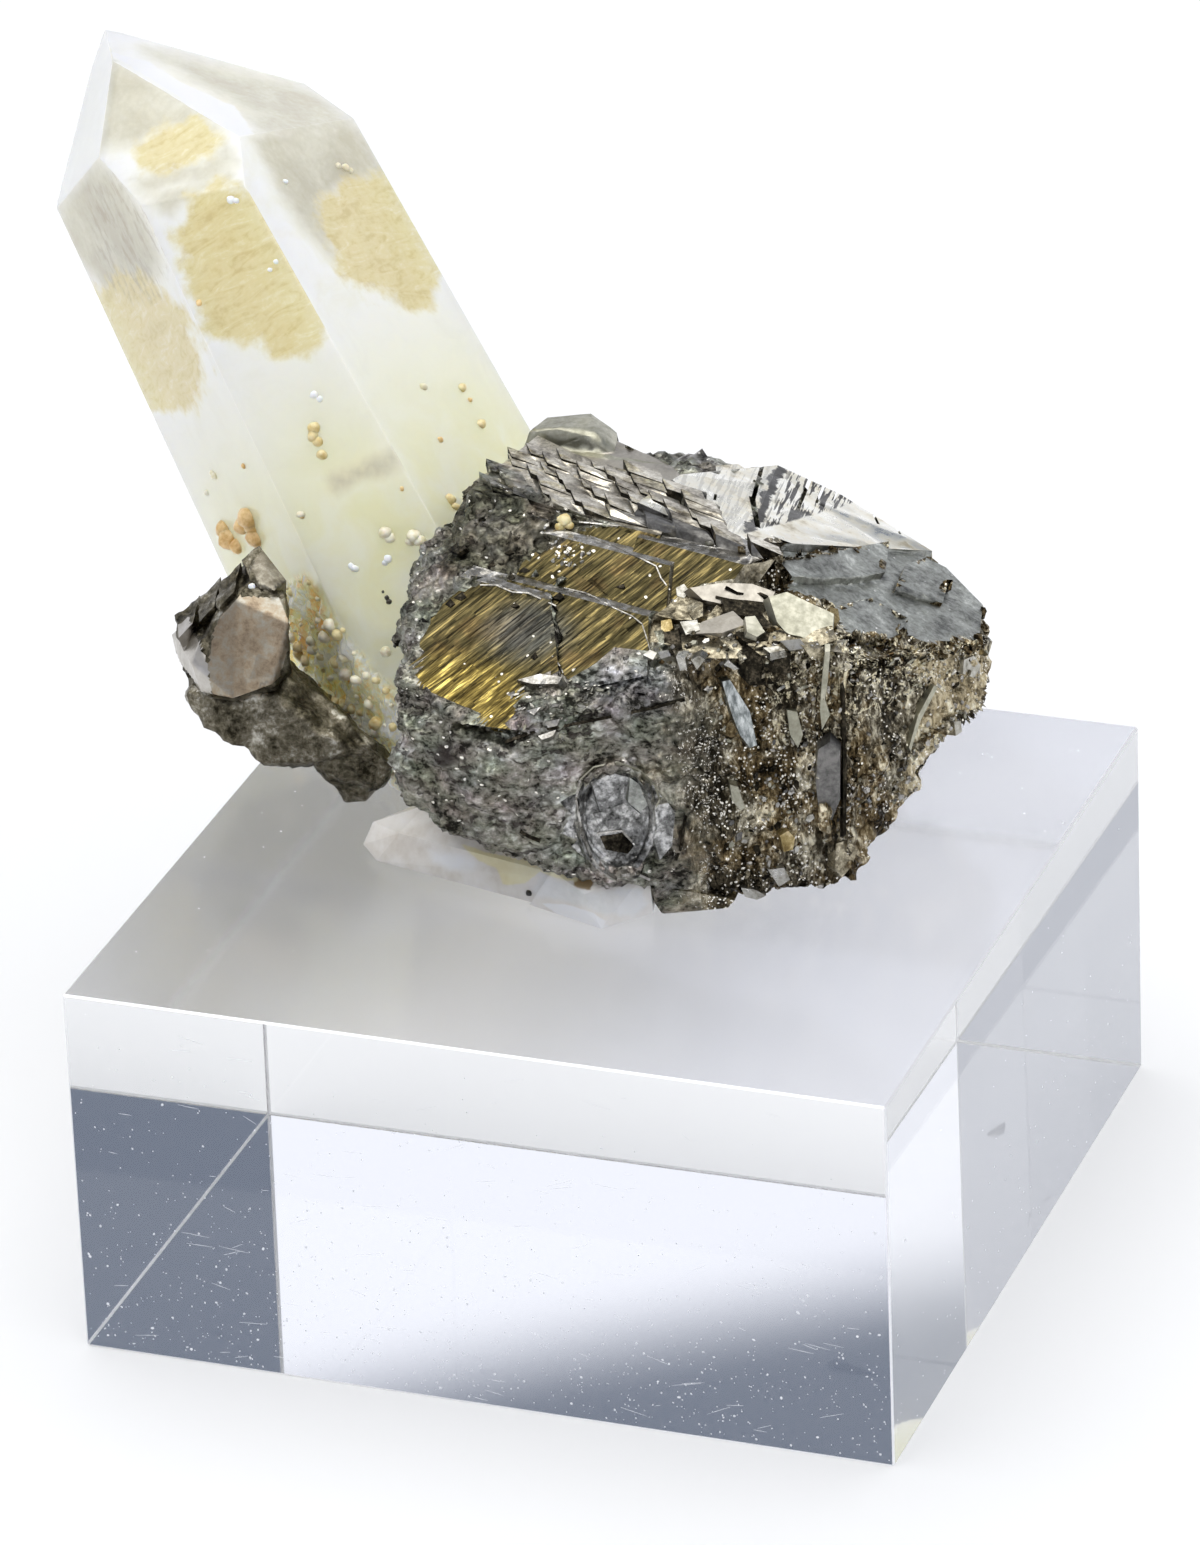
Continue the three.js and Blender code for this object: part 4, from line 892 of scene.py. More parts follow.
for vertex in mesh.vertices:
    if free[vertex.index] and vertex.co.z > 0.0243:
        share = min(max((vertex.co.x / MM - 5.0) / 3.0, 0.0), 1.0)
        near_imprint = (vertex.co - IMPRINT).length < 3.2 * MM
        lumpy.add([vertex.index], 0.25 if near_imprint else 1.0 - 0.5 * share, "REPLACE")
        broken.add([vertex.index], share if not near_imprint else 0.0, "REPLACE")


modify(cluster, "DISPLACE", texture=texture("lumps", "CLOUDS", 0.0017, noise_depth=3), texture_coords="LOCAL",
       strength=0.0016, mid_level=0.5, vertex_group="lumpy")
modify(cluster, "DISPLACE", texture=texture("swells", "CLOUDS", 0.003, noise_depth=3), texture_coords="LOCAL",
       strength=0.0005, mid_level=0.5, vertex_group="smooth")
modify(cluster, "DISPLACE", texture=texture("blocks", "VORONOI", 0.0013, weight_1=-1.0, weight_2=1.0),
       texture_coords="LOCAL", strength=0.0014, mid_level=0.3, vertex_group="broken")
modify(cluster, "DISPLACE", texture=texture("grains", "CLOUDS", 0.0005, noise_depth=2), texture_coords="LOCAL",
       strength=0.0007, mid_level=0.5, vertex_group="lumpy")
cluster.vertex_groups.clear()
bpy.ops.object.select_all(action="DESELECT")
cluster.select_set(True)
bpy.ops.object.shade_smooth_by_angle(angle=0.55)
for face in cluster.data.polygons:
    if face.material_index == GOLD_INDEX or (face.material_index == PARTS.index("rough") and face.center.x > 0.0085):
        face.use_smooth = False
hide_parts("pyrrhotite_cluster")
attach(cluster, "root")


# ---------------------------------------------------------------- broken plates
# Plates and shards of crystal on the large cluster. They grew as thin layers and broke
# along them, so each is a flat plate with sharp sides, let into the metal below.
def way_to(x, y):
    """The way from the camera through a place in the photograph's frame."""
    across = CAMERA_RIGHT * ((x - FRAME_WIDTH / 2) / FOCAL)
    upward = CAMERA_UP * ((FRAME_HEIGHT / 2 - y) / FOCAL)
    return (across + upward - CAMERA_BACK).normalized()


def surface_of(*pieces):
    """What a ray can meet: the faces of those pieces."""
    corners, faces = [], []
    for piece in pieces:
        start = len(corners)
        corners.extend(vertex.co.copy() for vertex in piece.data.vertices)
        faces.extend([start + index for index in face.vertices] for face in piece.data.polygons)
    return BVHTree.FromPolygons(corners, faces)


def seen_at(surface, x, y):
    """The place and the facing of the surface at a place in the photograph's frame."""
    place, facing, _, _ = surface.ray_cast(CAMERA_PLACE, way_to(x, y))
    return place, facing


def plate_on(surface, base, outline, look, raised=0.1, thick=0.7, lean=(0, 0), flare=1.1):
    """A plate whose outline in the photograph's frame is given, lying on the surface there."""
    middle = (sum(x for x, y in outline) / len(outline), sum(y for x, y in outline) / len(outline))
    spots = [seen_at(surface, *spot)[0] for spot in [middle, *outline]]
    spots = [spot for spot in spots if spot is not None]
    facings = [seen_at(base, *spot)[1] for spot in [middle, *outline]]
    facing = sum((way for way in facings if way is not None), Vector()).normalized()
    facing = (facing + CAMERA_RIGHT * lean[0] + CAMERA_UP * lean[1]).normalized()
    depths = [spot.dot(facing) for spot in spots]
    level = (max(depths) + sum(depths) / len(depths)) / 2 + raised * MM
    bpy.ops.mesh.primitive_circle_add(vertices=len(outline), radius=MM, fill_type="NGON")
    made = bpy.context.object
    for vertex, (x, y) in zip(made.data.vertices, outline):
        way = way_to(x, y)
        vertex.co = CAMERA_PLACE + way * ((level - CAMERA_PLACE.dot(facing)) / way.dot(facing))
    centre = sum((vertex.co for vertex in made.data.vertices), Vector()) / len(outline)
    bpy.ops.object.mode_set(mode="EDIT")
    bpy.ops.mesh.select_all(action="SELECT")
    bpy.ops.mesh.extrude_region_move(TRANSFORM_OT_translate={"value": -facing * thick * MM})
    bpy.ops.transform.resize(value=(flare,) * 3, center_override=centre - facing * thick * MM)
    bpy.ops.mesh.select_all(action="SELECT")
    bpy.ops.mesh.normals_make_consistent(inside=False)
    bpy.ops.mesh.quads_convert_to_tris(ngon_method="BEAUTY")
    bpy.ops.object.mode_set(mode="OBJECT")
    made.data.materials.append(look)
    return made


def join(pieces, name):
    """Several meshes as one piece, placed at the origin."""
    bpy.ops.object.select_all(action="DESELECT")
    for piece in pieces:
        piece.select_set(True)
    whole = pieces[0]
    bpy.context.view_layer.objects.active = whole
    if len(pieces) > 1:
        bpy.ops.object.join()
    bpy.ops.object.transform_apply(location=True, rotation=True, scale=True)
    whole.name = whole.data.name = name
    return whole


cluster_surface = surface_of(cluster)
cluster_base = surface_of(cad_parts["pyrrhotite_cluster"])
PLATES = [
    # the broken plates above the front wall
    (plate_look, [(655, 615), (667, 607), (685, 590), (700, 605), (700, 620), (677, 620)], 0.25, (0.1, 0.1)),
    (shoulder_look, [(690, 588), (722, 583), (752, 584), (775, 592), (770, 603), (745, 600), (722, 604), (703, 600)],
     0.3, (0, 0)),
    (pale_look, [(676, 588), (684, 584), (690, 592), (684, 598), (677, 596)], 0.35, (0.2, 0)),
    (plate_look, [(689, 598), (703, 603), (703, 616), (694, 620), (686, 610)], 0.4, (-0.2, 0)),
    (plate_look, [(735, 607), (770, 603), (771, 607), (740, 612)], 0.35, (0, 0.2)),
    (dark_and_shade_look, [(722, 598), (770, 603), (766, 618), (726, 614)], 0.12, (0, 0)),
    (shoulder_look, [(702, 622), (733, 611), (747, 624), (722, 633), (690, 634)], 0.22, (-0.1, 0)),
    (knob_look, [(769, 597), (787, 592), (812, 604), (834, 614), (832, 635), (826, 647), (815, 647), (802, 637),
                 (787, 634), (777, 622)], 0.5, (0, -0.15)),
    (gold_grain, [(830, 607), (838, 609), (840, 620), (835, 624), (830, 616)], 0.55, (0, -0.1)),
    (pale_look, [(780, 641), (800, 639), (807, 648), (790, 651)], 0.45, (0, -0.2)),
    (pale_look, [(676, 657), (685, 658), (687, 669), (680, 671)], 0.4, (0.2, -0.3)),
    (pale_look, [(691, 660), (699, 656), (705, 660), (697, 670)], 0.45, (-0.2, -0.3)),
    (pale_look, [(724, 665), (728, 660), (739, 669), (734, 670)], 0.4, (0.1, -0.2)),
    (pale_look, [(680, 622), (697, 620), (700, 630), (686, 635)], 0.35, (0.1, 0)),
    (gold_grain, [(661, 621), (671, 619), (673, 628), (667, 634), (661, 629)], 0.35, (0, -0.1)),
    (dark_and_shade_look, [(664, 632), (678, 630), (682, 648), (672, 654), (664, 644)], 0.2, (0, -0.1)),
    (knob_look, [(745, 617), (755, 616), (765, 632), (757, 637), (747, 632)], 0.4, (0.3, 0)),
    (dark_and_shade_look, [(735, 634), (747, 622), (762, 615), (772, 625), (768, 640), (745, 642)], 0.15, (0, 0)),
    (pale_look, [(763, 648), (778, 646), (785, 650), (770, 653)], 0.4, (0, -0.1)),
    (dark_and_shade_look, [(737, 655), (765, 648), (790, 653), (790, 673), (775, 684), (750, 686), (740, 676)], 0.1, (0, -0.2)),
    (pale_look, [(643, 655), (650, 650), (657, 653), (653, 660)], 0.35, (0, 0.1)),
    (pale_look, [(658, 652), (668, 650), (671, 656), (661, 659)], 0.35, (0, 0.1)),
    (plate_look, [(805, 650), (822, 648), (826, 656), (812, 660)], 0.3, (0.2, -0.2)),
    # slabs and shards of the right front
    (blue_look, [(722, 682), (730, 680), (750, 712), (757, 745), (750, 748), (740, 735), (732, 715)], 0.4, (0.15, 0.1)),
    (knob_look, [(825, 652), (830, 652), (828, 680), (825, 700), (830, 715), (822, 730), (820, 710), (822, 680)], 0.3, (0, 0)),
    (knob_look, [(787, 710), (797, 712), (803, 735), (798, 748), (790, 735)], 0.35, (0.1, 0)),
    (slope_look, [(818, 750), (830, 742), (840, 752), (840, 800), (832, 820), (820, 818), (816, 785)], 0.15, (-0.1, -0.15)),
    (dark_and_shade_look, [(842, 690), (845, 690), (847, 760), (846, 835), (843, 835), (843, 760)], 0.3, (0.1, 0)),
    (knob_look, [(730, 785), (738, 787), (745, 808), (741, 811), (732, 801)], 0.35, (0.1, 0)),
    (gold_grain, [(780, 836), (788, 831), (795, 838), (793, 850), (784, 852)], 0.35, (0.1, 0)),
    (plate_look, [(836, 844), (848, 840), (858, 850), (852, 866), (842, 878), (835, 868)], 0.12, (0.1, 0)),
    (pale_look, [(964, 660), (974, 656), (981, 666), (974, 678), (963, 674)], 0.2, (0, 0)),
    (pale_look, [(954, 722), (961, 721), (962, 732), (956, 736)], 0.2, (0, 0)),
    (knob_look, [(934, 686), (938, 687), (920, 722), (911, 751), (909, 748), (918, 716)], 0.2, (-0.1, 0)),
    (rough_look, [(652, 889), (690, 892), (735, 900), (728, 908), (690, 914), (664, 917), (656, 905)], 0.2, (0, -0.1)),
    (pale_look, [(768, 870), (784, 868), (790, 880), (779, 887)], 0.35, (0, 0.1)),
    (pale_look, [(741, 888), (756, 890), (766, 896), (757, 900), (745, 897)], 0.35, (0, 0)),
    # the front's light plates below the golden face
    (bright_and_highlight_look, [(517, 680), (540, 674), (562, 677), (558, 684), (532, 684)], 0.3, (0, 0.1)),
    (bright_and_highlight_look, [(545, 722), (560, 719), (557, 726), (548, 728)], 0.25, (0, 0.2)),
    (bright_and_highlight_look, [(538, 736), (556, 730), (553, 736), (542, 740)], 0.25, (0.1, 0.2)),
    (bright_and_highlight_look, [(526, 711), (541, 707), (534, 715)], 0.25, (0, 0.2)),
    (imprint_look, [(655, 806), (668, 803), (675, 814), (672, 846), (660, 860), (654, 840)], 0.25, (0.1, 0)),
]
plates = [plate_on(cluster_surface, cluster_base, outline, look, raised, lean=lean)
          for look, outline, raised, lean in PLATES]

# The notches of the golden face: small near-black plates laid on it, painted shade where the notches are
for x, y, wide in [(460, 596, 9), (450, 603, 7), (515, 605, 6), (524, 570, 9), (509, 552, 7), (491, 565, 6),
                   (558, 596, 9), (620, 586, 7), (457, 547, 13), (422, 620, 6), (511, 577, 6), (534, 656, 5)]:
    rise = chance.uniform(0.3, 0.8) * wide
    notch = [(x - 0.7 * wide, y + 0.2 * wide), (x + chance.uniform(0, 0.6) * wide, y - rise),
             (x + 0.7 * wide, y + 0.1 * wide), (x + chance.uniform(0, 0.5) * wide, y + rise)]
    plates.append(plate_on(cluster_surface, cluster_base, notch, dark_and_shade_look, 0.05, 0.3, flare=1.0))


def thread_on(surface, base, line, look, wide, raised=0.12):
    """A narrow strip of the given look along a line in the photograph's frame."""
    made = []
    for (x0, y0), (x1, y1) in zip(line, line[1:]):
        length = math.hypot(x1 - x0, y1 - y0)
        side = (-(y1 - y0) / length * wide / 2, (x1 - x0) / length * wide / 2)
        outline = [(x0 - side[0], y0 - side[1]), (x1 - side[0], y1 - side[1]),
                   (x1 + side[0], y1 + side[1]), (x0 + side[0], y0 + side[1])]
        made.append(plate_on(surface, base, outline, look, raised, thick=0.4, flare=1.0))
    return made


# Painted highlights: light strips along the step edges of the golden face.
for line, wide in [
    ([(480, 585), (496, 585), (512, 592), (528, 593), (541, 599), (556, 606)], 1.3),
    ([(564, 588), (586, 593), (599, 599), (612, 607), (632, 616), (642, 624), (646, 636), (650, 650)], 1.1),
    ([(590, 536), (616, 546), (636, 556), (656, 566), (661, 578), (670, 590)], 1.2),
    ([(552, 656), (560, 666), (563, 673)], 1.2),
    ([(579, 522), (600, 524), (618, 526)], 1.2),
]:
    plates += thread_on(cluster_surface, cluster_base, line, bright_and_highlight_look, wide, 0.06)
# Painted shade: dark strips among the plates.
for line in [[(706, 590), (716, 597), (730, 600)], [(726, 587), (737, 593), (752, 596)], [(746, 587), (757, 592), (768, 597)],
             [(708, 622), (722, 626), (738, 622)]]:
    plates += thread_on(cluster_surface, cluster_base, line, dark_and_shade_look, 2.4, 0.34)

# The imprint of a crystal in the front wall has a broken rim, a pale bed and a ledge; the light strips on its rim are
# painted highlights and the dark strips along its ledges painted shade
IMPRINT_LINES = [
    (bright_and_highlight_look, [(580, 780), (576, 800), (580, 822), (586, 842), (592, 858), (603, 874), (616, 882)], 2.2),
    (knob_look, [(580, 780), (594, 767), (617, 762), (640, 770), (654, 784), (660, 800), (652, 814)], 1.5),
    (bright_and_highlight_look, [(597, 834), (610, 832), (622, 831), (632, 842)], 1.8),
    (bright_and_highlight_look, [(622, 876), (636, 874), (650, 880)], 2.6),
    (dark_and_shade_look, [(505, 742), (530, 733), (570, 725), (610, 717), (650, 709), (685, 700)], 3.0),
    (dark_and_shade_look, [(688, 806), (684, 826), (682, 846), (676, 860)], 2.6),
    (dark_and_shade_look, [(520, 832), (530, 838), (540, 842)], 2.4),
]
for look, line, wide in IMPRINT_LINES:
    plates += thread_on(cluster_surface, cluster_base, line, look, wide, 0.1)
for look, outline in [
    (imprint_look, [(592, 784), (612, 773), (630, 778), (628, 802), (600, 812)]),
    (grey_look, [(630, 778), (648, 790), (652, 802), (640, 812), (628, 802)]),
    (imprint_look, [(594, 814), (628, 804), (640, 814), (630, 828), (600, 832)]),
    (dark_and_shade_look, [(600, 837), (622, 833), (634, 846), (628, 854), (606, 850)]),
]:
    plates.append(plate_on(cluster_surface, cluster_base, outline, look, 0.06, 0.4))


# Small broken crystal faces crowd the right front and the right wall; many get light looks, painted highlights over
# their own random tilt.
def scatter_flakes(surface, outline, count, long, wide, lean, looks, seed, tilt=0.6):
    """Copies of one small plate, scattered over what is seen inside an outline."""
    chance = random.Random(seed)
    spread = [(min(spot[axis] for spot in outline), max(spot[axis] for spot in outline)) for axis in (0, 1)]
    made = []
    while len(made) < count:
        spot = (chance.uniform(*spread[0]), chance.uniform(*spread[1]))
        if depth_inside(np.array([spot]), outline)[0] < 0:
            continue
        place, facing = seen_at(surface, *spot)
        nudge = Vector([chance.uniform(-tilt, tilt) for _ in range(3)])
        if place is None:
            continue
        facing = (facing + nudge).normalized()
        angle = math.radians(lean + chance.gauss(0, 30))
        way = CAMERA_RIGHT * math.cos(angle) + CAMERA_UP * math.sin(angle)
        way = (way - facing * way.dot(facing)).normalized()
        size = 0.3 + 0.9 * chance.random() ** 2.5
        piece = flake.copy()
        piece.data = flake.data.copy()
        piece.data.materials.clear()
        piece.data.materials.append(chance.choice(looks))
        bpy.context.collection.objects.link(piece)
        turn = Matrix((way, facing.cross(way), facing)).transposed().to_4x4()
        scale = Matrix.Diagonal((long * size * MM, wide * size * MM, 0.16 * MM, 1))
        piece.data.transform(Matrix.Translation(place - facing * 0.08 * MM) @ turn @ scale)
        made.append(piece)
    return made


bpy.ops.mesh.primitive_circle_add(vertices=5, radius=1, fill_type="NGON")
flake = bpy.context.object
bpy.ops.object.mode_set(mode="EDIT")
bpy.ops.mesh.select_all(action="SELECT")
bpy.ops.mesh.extrude_region_move(TRANSFORM_OT_translate={"value": (0.15, 0, 1)})
bpy.ops.transform.resize(value=(0.75, 0.85, 1), center_override=(0.15, 0, 1))
bpy.ops.mesh.select_all(action="SELECT")
bpy.ops.mesh.normals_make_consistent(inside=False)
bpy.ops.object.mode_set(mode="OBJECT")
PAINTED_GLINT_LOOKS = [bright_and_highlight_look, pale_look, knob_look, bright_and_highlight_look, plate_look]
DARK = [dark_and_shade_look, brown_look, dark_and_shade_look, plate_look, slope_look]
for outline, count, long, wide, lean, looks, seed in [
    ([(705, 682), (735, 686), (745, 735), (722, 745), (708, 715)], 40, 0.26, 0.14, 70, PAINTED_GLINT_LOOKS, 1),
    ([(737, 655), (830, 650), (843, 690), (842, 730), (800, 712), (755, 705)], 60, 0.3, 0.16, 60, PAINTED_GLINT_LOOKS + DARK, 2),
    ([(745, 745), (815, 735), (815, 800), (760, 800)], 45, 0.4, 0.24, 70, DARK + PAINTED_GLINT_LOOKS[:2], 3),
    ([(757, 778), (795, 778), (795, 820), (757, 820)], 42, 0.2, 0.14, 50, PAINTED_GLINT_LOOKS, 4),
    ([(845, 775), (885, 775), (885, 812), (846, 812)], 46, 0.24, 0.18, 30, PAINTED_GLINT_LOOKS, 5),
    ([(725, 800), (845, 815), (845, 890), (800, 905), (735, 890)], 80, 0.36, 0.22, 60, DARK + PAINTED_GLINT_LOOKS, 6),
    ([(838, 640), (985, 640), (960, 690), (905, 700), (850, 705)], 150, 0.3, 0.09, 15, PAINTED_GLINT_LOOKS[:3] + DARK[:2], 7),
    ([(848, 705), (905, 700), (905, 800), (848, 820)], 60, 0.22, 0.14, 50, DARK + PAINTED_GLINT_LOOKS[:1], 8),
    ([(905, 740), (960, 700), (985, 690), (965, 735), (950, 768), (905, 812), (890, 800)], 90, 0.26, 0.18, 60, PAINTED_GLINT_LOOKS, 9),
    ([(936, 655), (990, 650), (985, 682), (960, 702), (936, 712)], 30, 0.3, 0.2, 50, PAINTED_GLINT_LOOKS, 10),
    ([(543, 522), (592, 522), (590, 566), (552, 566)], 46, 0.2, 0.12, 40, PAINTED_GLINT_LOOKS[:2], 11),
    ([(398, 640), (417, 620), (417, 690), (404, 745)], 40, 0.12, 0.08, 90, PAINTED_GLINT_LOOKS[:2], 12),
    ([(508, 690), (575, 676), (612, 690), (600, 716), (560, 742), (515, 746)], 90, 0.34, 0.1, 12, PAINTED_GLINT_LOOKS[:3], 13),
    ([(655, 645), (790, 640), (780, 665), (660, 672)], 46, 0.3, 0.2, 30, PAINTED_GLINT_LOOKS + DARK, 14),
    ([(672, 590), (790, 590), (780, 640), (665, 650)], 50, 0.34, 0.2, 20, PAINTED_GLINT_LOOKS + DARK, 15),
]:
    plates += scatter_flakes(cluster_surface, outline, count, long, wide, lean, looks, seed)
bpy.data.objects.remove(flake)
broken_plates = join(plates, "pyrrhotite_plates")
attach(broken_plates, "root")


# ---------------------------------------------------------------- side cluster
# A second, smaller group of pyrrhotite on the quartz's left side: a flat crystal with
# smooth brown and grey faces, above a lumpy brown mass that hangs down beside the quartz.
mauve_look = metal("brown_face", [(0.36, (0.15, 0.11, 0.075)), (0.46, (0.31, 0.245, 0.17)), (0.53, (0.35, 0.315, 0.25)), (0.64, (0.42, 0.42, 0.38))],
                   260, (0.42, 0.32), (0.3, 0.00006), tilt=0.05)
tan_look = metal("tan_face", [(0.36, (0.1, 0.085, 0.06)), (0.5, (0.2, 0.18, 0.14)), (0.64, (0.36, 0.34, 0.28))],
                 400, (0.45, 0.34), (0.3, 0.00006), tilt=0.05)
lilac_look = metal("lilac_face", [(0.36, (0.4, 0.375, 0.33)), (0.5, (0.5, 0.475, 0.43)), (0.64, (0.6, 0.58, 0.54))],
                   260, (0.4, 0.3), (0.2, 0.00005), tilt=0.03)
mass_look = metal("brown_mass", [(0.4, (0.02, 0.017, 0.01)), (0.48, (0.1, 0.088, 0.06)), (0.55, (0.19, 0.17, 0.125)), (0.66, (0.55, 0.53, 0.46))], 420, (0.48, 0.32), (0.9, 0.0002), tilt=0.2)
FACES = [
    (1, [(240, 596), (288, 598), (294, 622), (288, 650), (278, 680), (268, 692), (240, 701), (213, 699), (208, 668),
         (214, 630), (222, 614)]),
    (2, [(262, 550), (290, 580), (292, 590), (264, 589), (250, 568)]),
    (3, [(170, 634), (188, 616), (200, 644), (208, 668), (212, 696), (198, 690), (194, 680), (180, 662)]),
]
side = copy_of("pyrrhotite_side", "side_crystals")
wear(side, mass_look, mauve_look, tan_look, lilac_look)
split_edges(side, lambda middles: 0.0004)
mesh = side.data
centres = np.array([face.center for face in mesh.polygons])
toward = np.array([face.normal for face in mesh.polygons]) @ np.array(CAMERA_BACK)
seen = seen_in_frame(centres)
for index, outline in FACES:
    for face in np.nonzero((depth_inside(seen, outline) > 0) & (toward > 0.1))[0]:
        mesh.polygons[int(face)].material_index = index
firm = np.zeros(len(mesh.vertices), bool)
for face in mesh.polygons:
    if face.material_index:
        firm[list(face.vertices)] = True
lumpy = side.vertex_groups.new(name="lumpy")
lumpy.add([vertex.index for vertex in mesh.vertices if not firm[vertex.index]], 1.0, "REPLACE")
modify(side, "DISPLACE", texture=texture("side_lumps", "CLOUDS", 0.0018, noise_depth=4), texture_coords="LOCAL",
       strength=0.0011, mid_level=0.5, vertex_group="lumpy")
side.vertex_groups.clear()
bpy.ops.object.select_all(action="DESELECT")
side.select_set(True)
bpy.ops.object.shade_smooth_by_angle(angle=0.5)
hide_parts("pyrrhotite_side")
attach(side, "root")


# ---------------------------------------------------------------- carbonate grains
# Rounded grains of iron carbonate, orange to pale yellow, grown on the quartz and on the
# metal, with a few clear white flakes of quartz among them.
def grain_look(name, dark, light):
    look, tree, shader = new_look(name)
    blotch = noise(tree, uneven(tree), 1800, 4, 0.6)
    set_inputs(tree, shader, {
        "Base Color": ramp(tree, blotch, [(0.35, dark), (0.62, light)]), "Roughness": 0.3,
        "Subsurface Weight": 0.3, "Subsurface Radius": (1.0, 0.7, 0.4), "Subsurface Scale": 0.0004,
        "Normal": relief(tree, blotch, 0.5, 0.0001),
    })
    return look


orange_grain = grain_look("orange_carbonate", (0.62, 0.38, 0.12), (0.88, 0.64, 0.32))
yellow_grain = grain_look("yellow_carbonate", (0.66, 0.50, 0.19), (0.88, 0.77, 0.45))
pale_grain = grain_look("pale_carbonate", (0.74, 0.66, 0.42), (0.93, 0.88, 0.72))
white_flake = grain_look("white_flake", (0.86, 0.88, 0.86), (0.98, 0.99, 0.99))
dark_speck = grain_look("dark_speck", (0.02, 0.018, 0.012), (0.08, 0.07, 0.05))

bpy.ops.mesh.primitive_cube_add(size=1.5)
grain = bpy.context.object
bpy.ops.object.mode_set(mode="EDIT")
bpy.ops.mesh.select_all(action="SELECT")
bpy.ops.mesh.bevel(offset=0.52, segments=2, affect="EDGES")
bpy.ops.object.mode_set(mode="OBJECT")
bpy.ops.object.shade_smooth()
all_surface = surface_of(cluster, point, foot, side)
quartz_surface = surface_of(point)
chance = random.Random(34)
crust_lumps = []
while len(crust_lumps) < 55:
    x, y = chance.uniform(276, 410), chance.uniform(574, 800)
    place = seen_at(all_surface, x, y)[0]
    on_quartz = place is not None and (place - (seen_at(quartz_surface, x, y)[0] or CAMERA_PLACE)).length < 0.01 * MM
    if on_quartz and depth_inside(np.array([(x, y)]), CRUST_AND_PAINTED_LIGHT)[0] > 0:
        crust_lumps.append((x, y, 2 + 5 * chance.random() ** 2.5))
chance = random.Random(21)
grains = []
for look, lumps in [
    (pale_grain, crust_lumps[:35]),
    (yellow_grain, crust_lumps[35:]),
    (orange_grain, [(230, 539, 11), (225, 529, 9), (249, 518, 11), (242, 526, 8), (256, 538, 10), (252, 528, 8), (238, 546, 8)]),
    (yellow_grain, [(314, 428, 6), (313, 436, 6), (318, 442, 5), (322, 455, 5), (301, 655, 8), (306, 661, 6), (298, 647, 6),
                    (564, 521, 7), (569, 526, 5), (560, 527, 5), (481, 424, 5), (462, 388, 5), (450, 500, 6),
                    (455, 507, 5), (334, 702, 5), (343, 705, 6), (352, 709, 5), (360, 713, 4), (376, 681, 4)]),
    (pale_grain, [(385, 533, 7), (390, 538, 5), (414, 536, 7), (420, 541, 6), (410, 542, 5), (215, 476, 4), (212, 473, 3),
                  (207, 493, 3), (345, 168, 4), (338, 166, 3), (350, 171, 3), (346, 674, 6), (356, 680, 6), (366, 676, 4),
                  (386, 652, 5), (423, 387, 4), (301, 515, 4)]),
    (orange_grain, [(244, 466, 3), (302, 517, 3), (402, 489, 2.5), (199, 303, 3), (470, 400, 3), (440, 440, 3)]),
    (white_flake, [(314, 395, 4), (320, 399, 3), (231, 200, 4), (236, 201, 3), (388, 559, 4), (385, 563, 3), (355, 569, 4),
                   (351, 566, 3), (252, 587, 3.5), (392, 540, 2), (285, 182, 3), (270, 270, 2.5), (276, 262, 2.5)]),
    (dark_speck, [(389, 602, 3), (387, 598, 2.5), (383, 592, 1.5), (529, 893, 3)]),
]:
    for x, y, radius in lumps:
        place, facing = seen_at(all_surface, x, y)
        if place is None:
            continue
        piece = grain.copy()
        piece.data = grain.data.copy()
        piece.data.materials.append(look)
        bpy.context.collection.objects.link(piece)
        turn = Matrix.Rotation(chance.uniform(0, 3), 4, "X") @ Matrix.Rotation(chance.uniform(0, 3), 4, "Z")
        size = 1.35 * radius / 16.3 * MM
        scale = Matrix.Diagonal((size, size * chance.uniform(0.8, 1.1), size * chance.uniform(0.7, 1.0), 1))
        piece.data.transform(Matrix.Translation(place) @ turn @ scale)
        grains.append(piece)
bpy.data.objects.remove(grain)
carbonate = join(grains, "carbonate_grains")
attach(carbonate, "root")


# ---------------------------------------------------------------- dust on the block
# The block is old: fine dust lies on its faces and short scratches run across its front.
dust_look, tree, shader = new_look("pale_dust")
blotch = noise(tree, uneven(tree), 2500, 3, 0.6)
set_inputs(tree, shader, {
    "Base Color": ramp(tree, blotch, [(0.35, (0.72, 0.74, 0.78)), (0.65, (0.95, 0.96, 0.98))]), "Roughness": 0.6,
})
bpy.ops.mesh.primitive_circle_add(vertices=6, radius=1, fill_type="NGON")
speck = bpy.context.object
bpy.ops.object.mode_set(mode="EDIT")
bpy.ops.mesh.select_all(action="SELECT")
bpy.ops.mesh.extrude_region_move(TRANSFORM_OT_translate={"value": (0, 0, 1)})
bpy.ops.transform.resize(value=(0.6, 0.6, 1), center_override=(0, 0, 1))
bpy.ops.mesh.select_all(action="SELECT")
bpy.ops.mesh.normals_make_consistent(inside=False)
bpy.ops.object.mode_set(mode="OBJECT")
speck.data.materials.append(dust_look)
low, high = (Vector(corner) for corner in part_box("acrylic_block"))
chance = random.Random(5)
dust = []
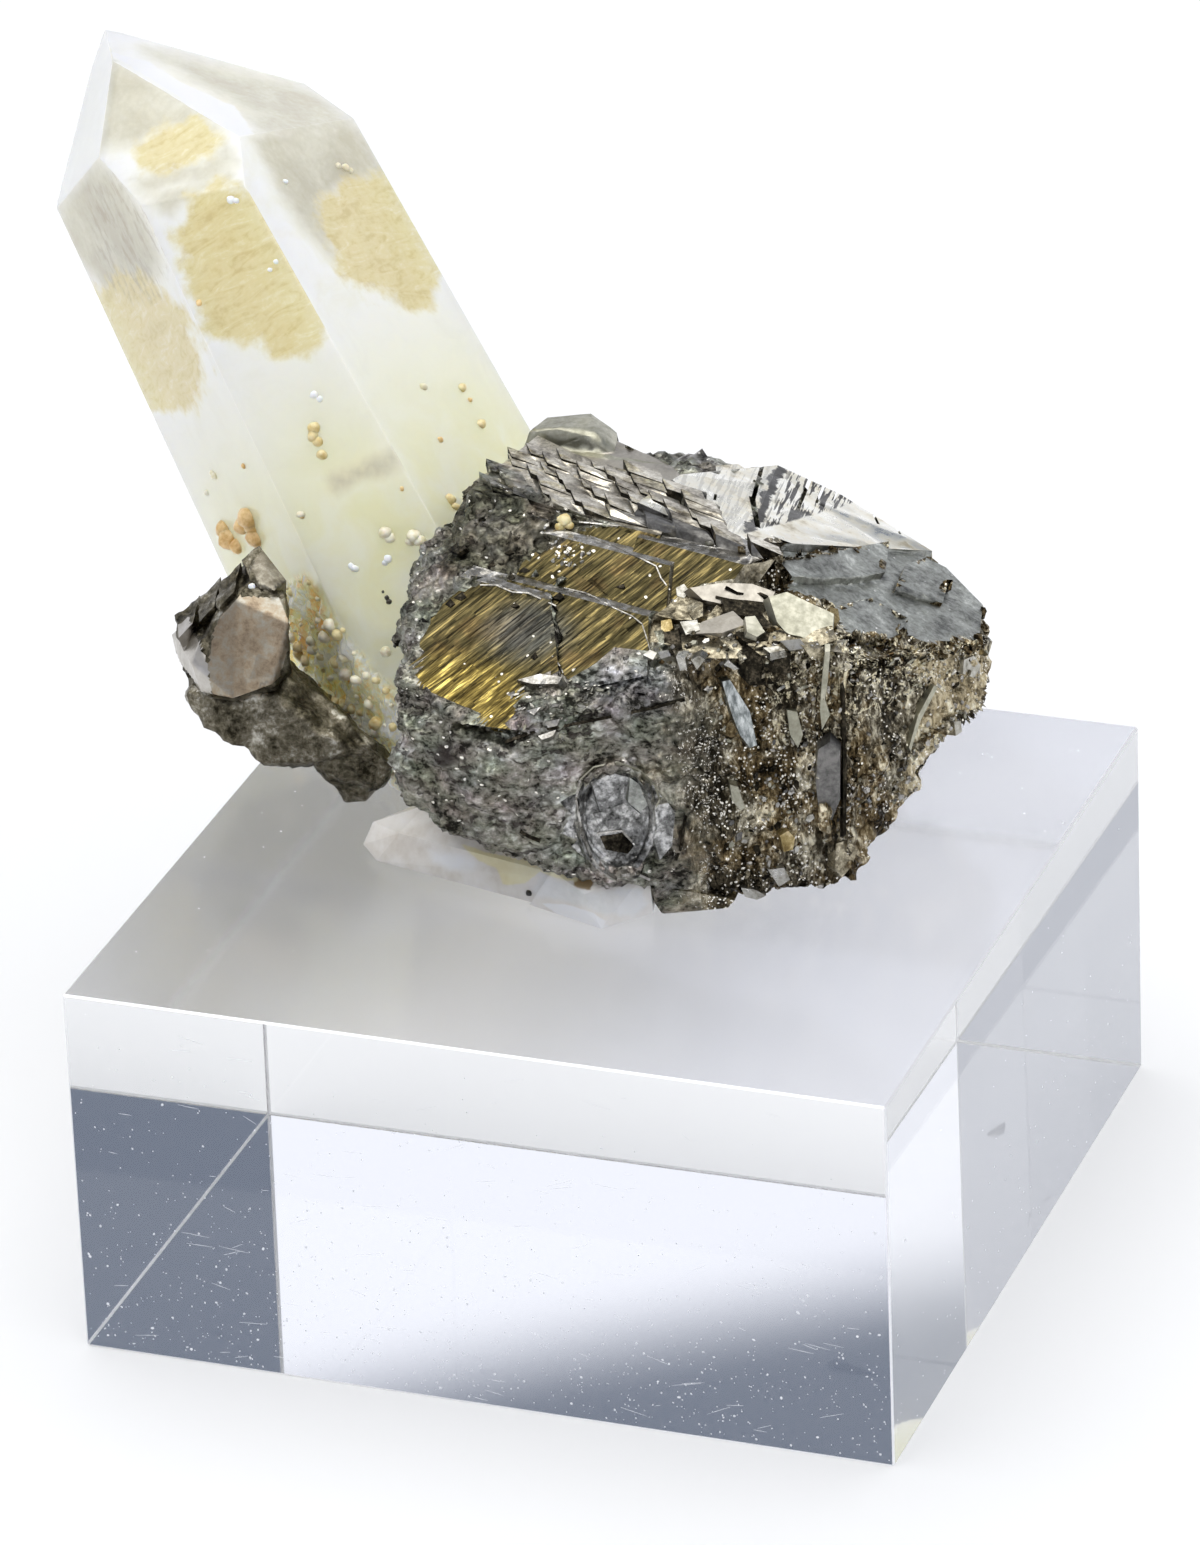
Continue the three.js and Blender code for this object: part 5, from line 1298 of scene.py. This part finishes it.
FRONT_WAY, RIGHT_WAY, UP_WAY = Vector((0, -1, 0)), Vector((1, 0, 0)), Vector((0, 0, 1))


def dust_at(place, facing, along, long, wide):
    piece = speck.copy()
    piece.data = speck.data.copy()
    bpy.context.collection.objects.link(piece)
    turn = Matrix((along, facing.cross(along), facing)).transposed().to_4x4()
    piece.data.transform(Matrix.Translation(place) @ turn @ Matrix.Diagonal((long, wide, 0.012 * MM, 1)))
    dust.append(piece)


def way_on(facing, angle):
    level = UP_WAY.cross(facing) if abs(facing.z) < 0.5 else RIGHT_WAY
    return level * math.cos(angle) + facing.cross(level) * math.sin(angle)


for number in range(1700):
    facing = FRONT_WAY if number < 1400 else RIGHT_WAY if number < 1550 else UP_WAY
    side_way = way_on(facing, 0)
    up_way = facing.cross(side_way)
    middle = (low + high) / 2
    half = (high - low) / 2 - Vector((0.3, 0.3, 0.3)) * MM
    across = chance.uniform(-1, 1) * half.x
    rise = half.z * (1 - 2 * chance.random() ** 0.4) if facing is not UP_WAY else half.y * chance.uniform(-1, 1)
    rise = max(rise, 0.08 * MM - half.z) if facing is not UP_WAY else rise
    face_at = middle + facing * abs(Vector([a * b for a, b in zip(facing, (high - low) / 2)]).length)
    place = face_at + side_way * across + up_way * rise
    if facing is UP_WAY and seen_at(all_surface, *seen_in_frame(np.array([place]))[0])[0] is not None:
        continue
    size = chance.uniform(0.018, 0.04) * MM * (1 + 1.6 * chance.random() ** 6)
    dust_at(place, facing, way_on(facing, chance.uniform(0, 3)), size * chance.uniform(1, 1.6), size)
for number in range(90):
    place = Vector((chance.uniform(low.x, high.x) * 0.92, low.y, low.z + 0.4 * MM + 22 * MM * chance.random() ** 1.5))
    angle = chance.gauss(0.05, 0.25)
    dust_at(place, FRONT_WAY, way_on(FRONT_WAY, angle), chance.uniform(0.2, 1.1) * MM, 0.014 * MM)
bpy.data.objects.remove(speck)
block_dust = join(dust, "block_dust")
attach(block_dust, "root")


# ---------------------------------------------------------------- size
low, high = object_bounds()
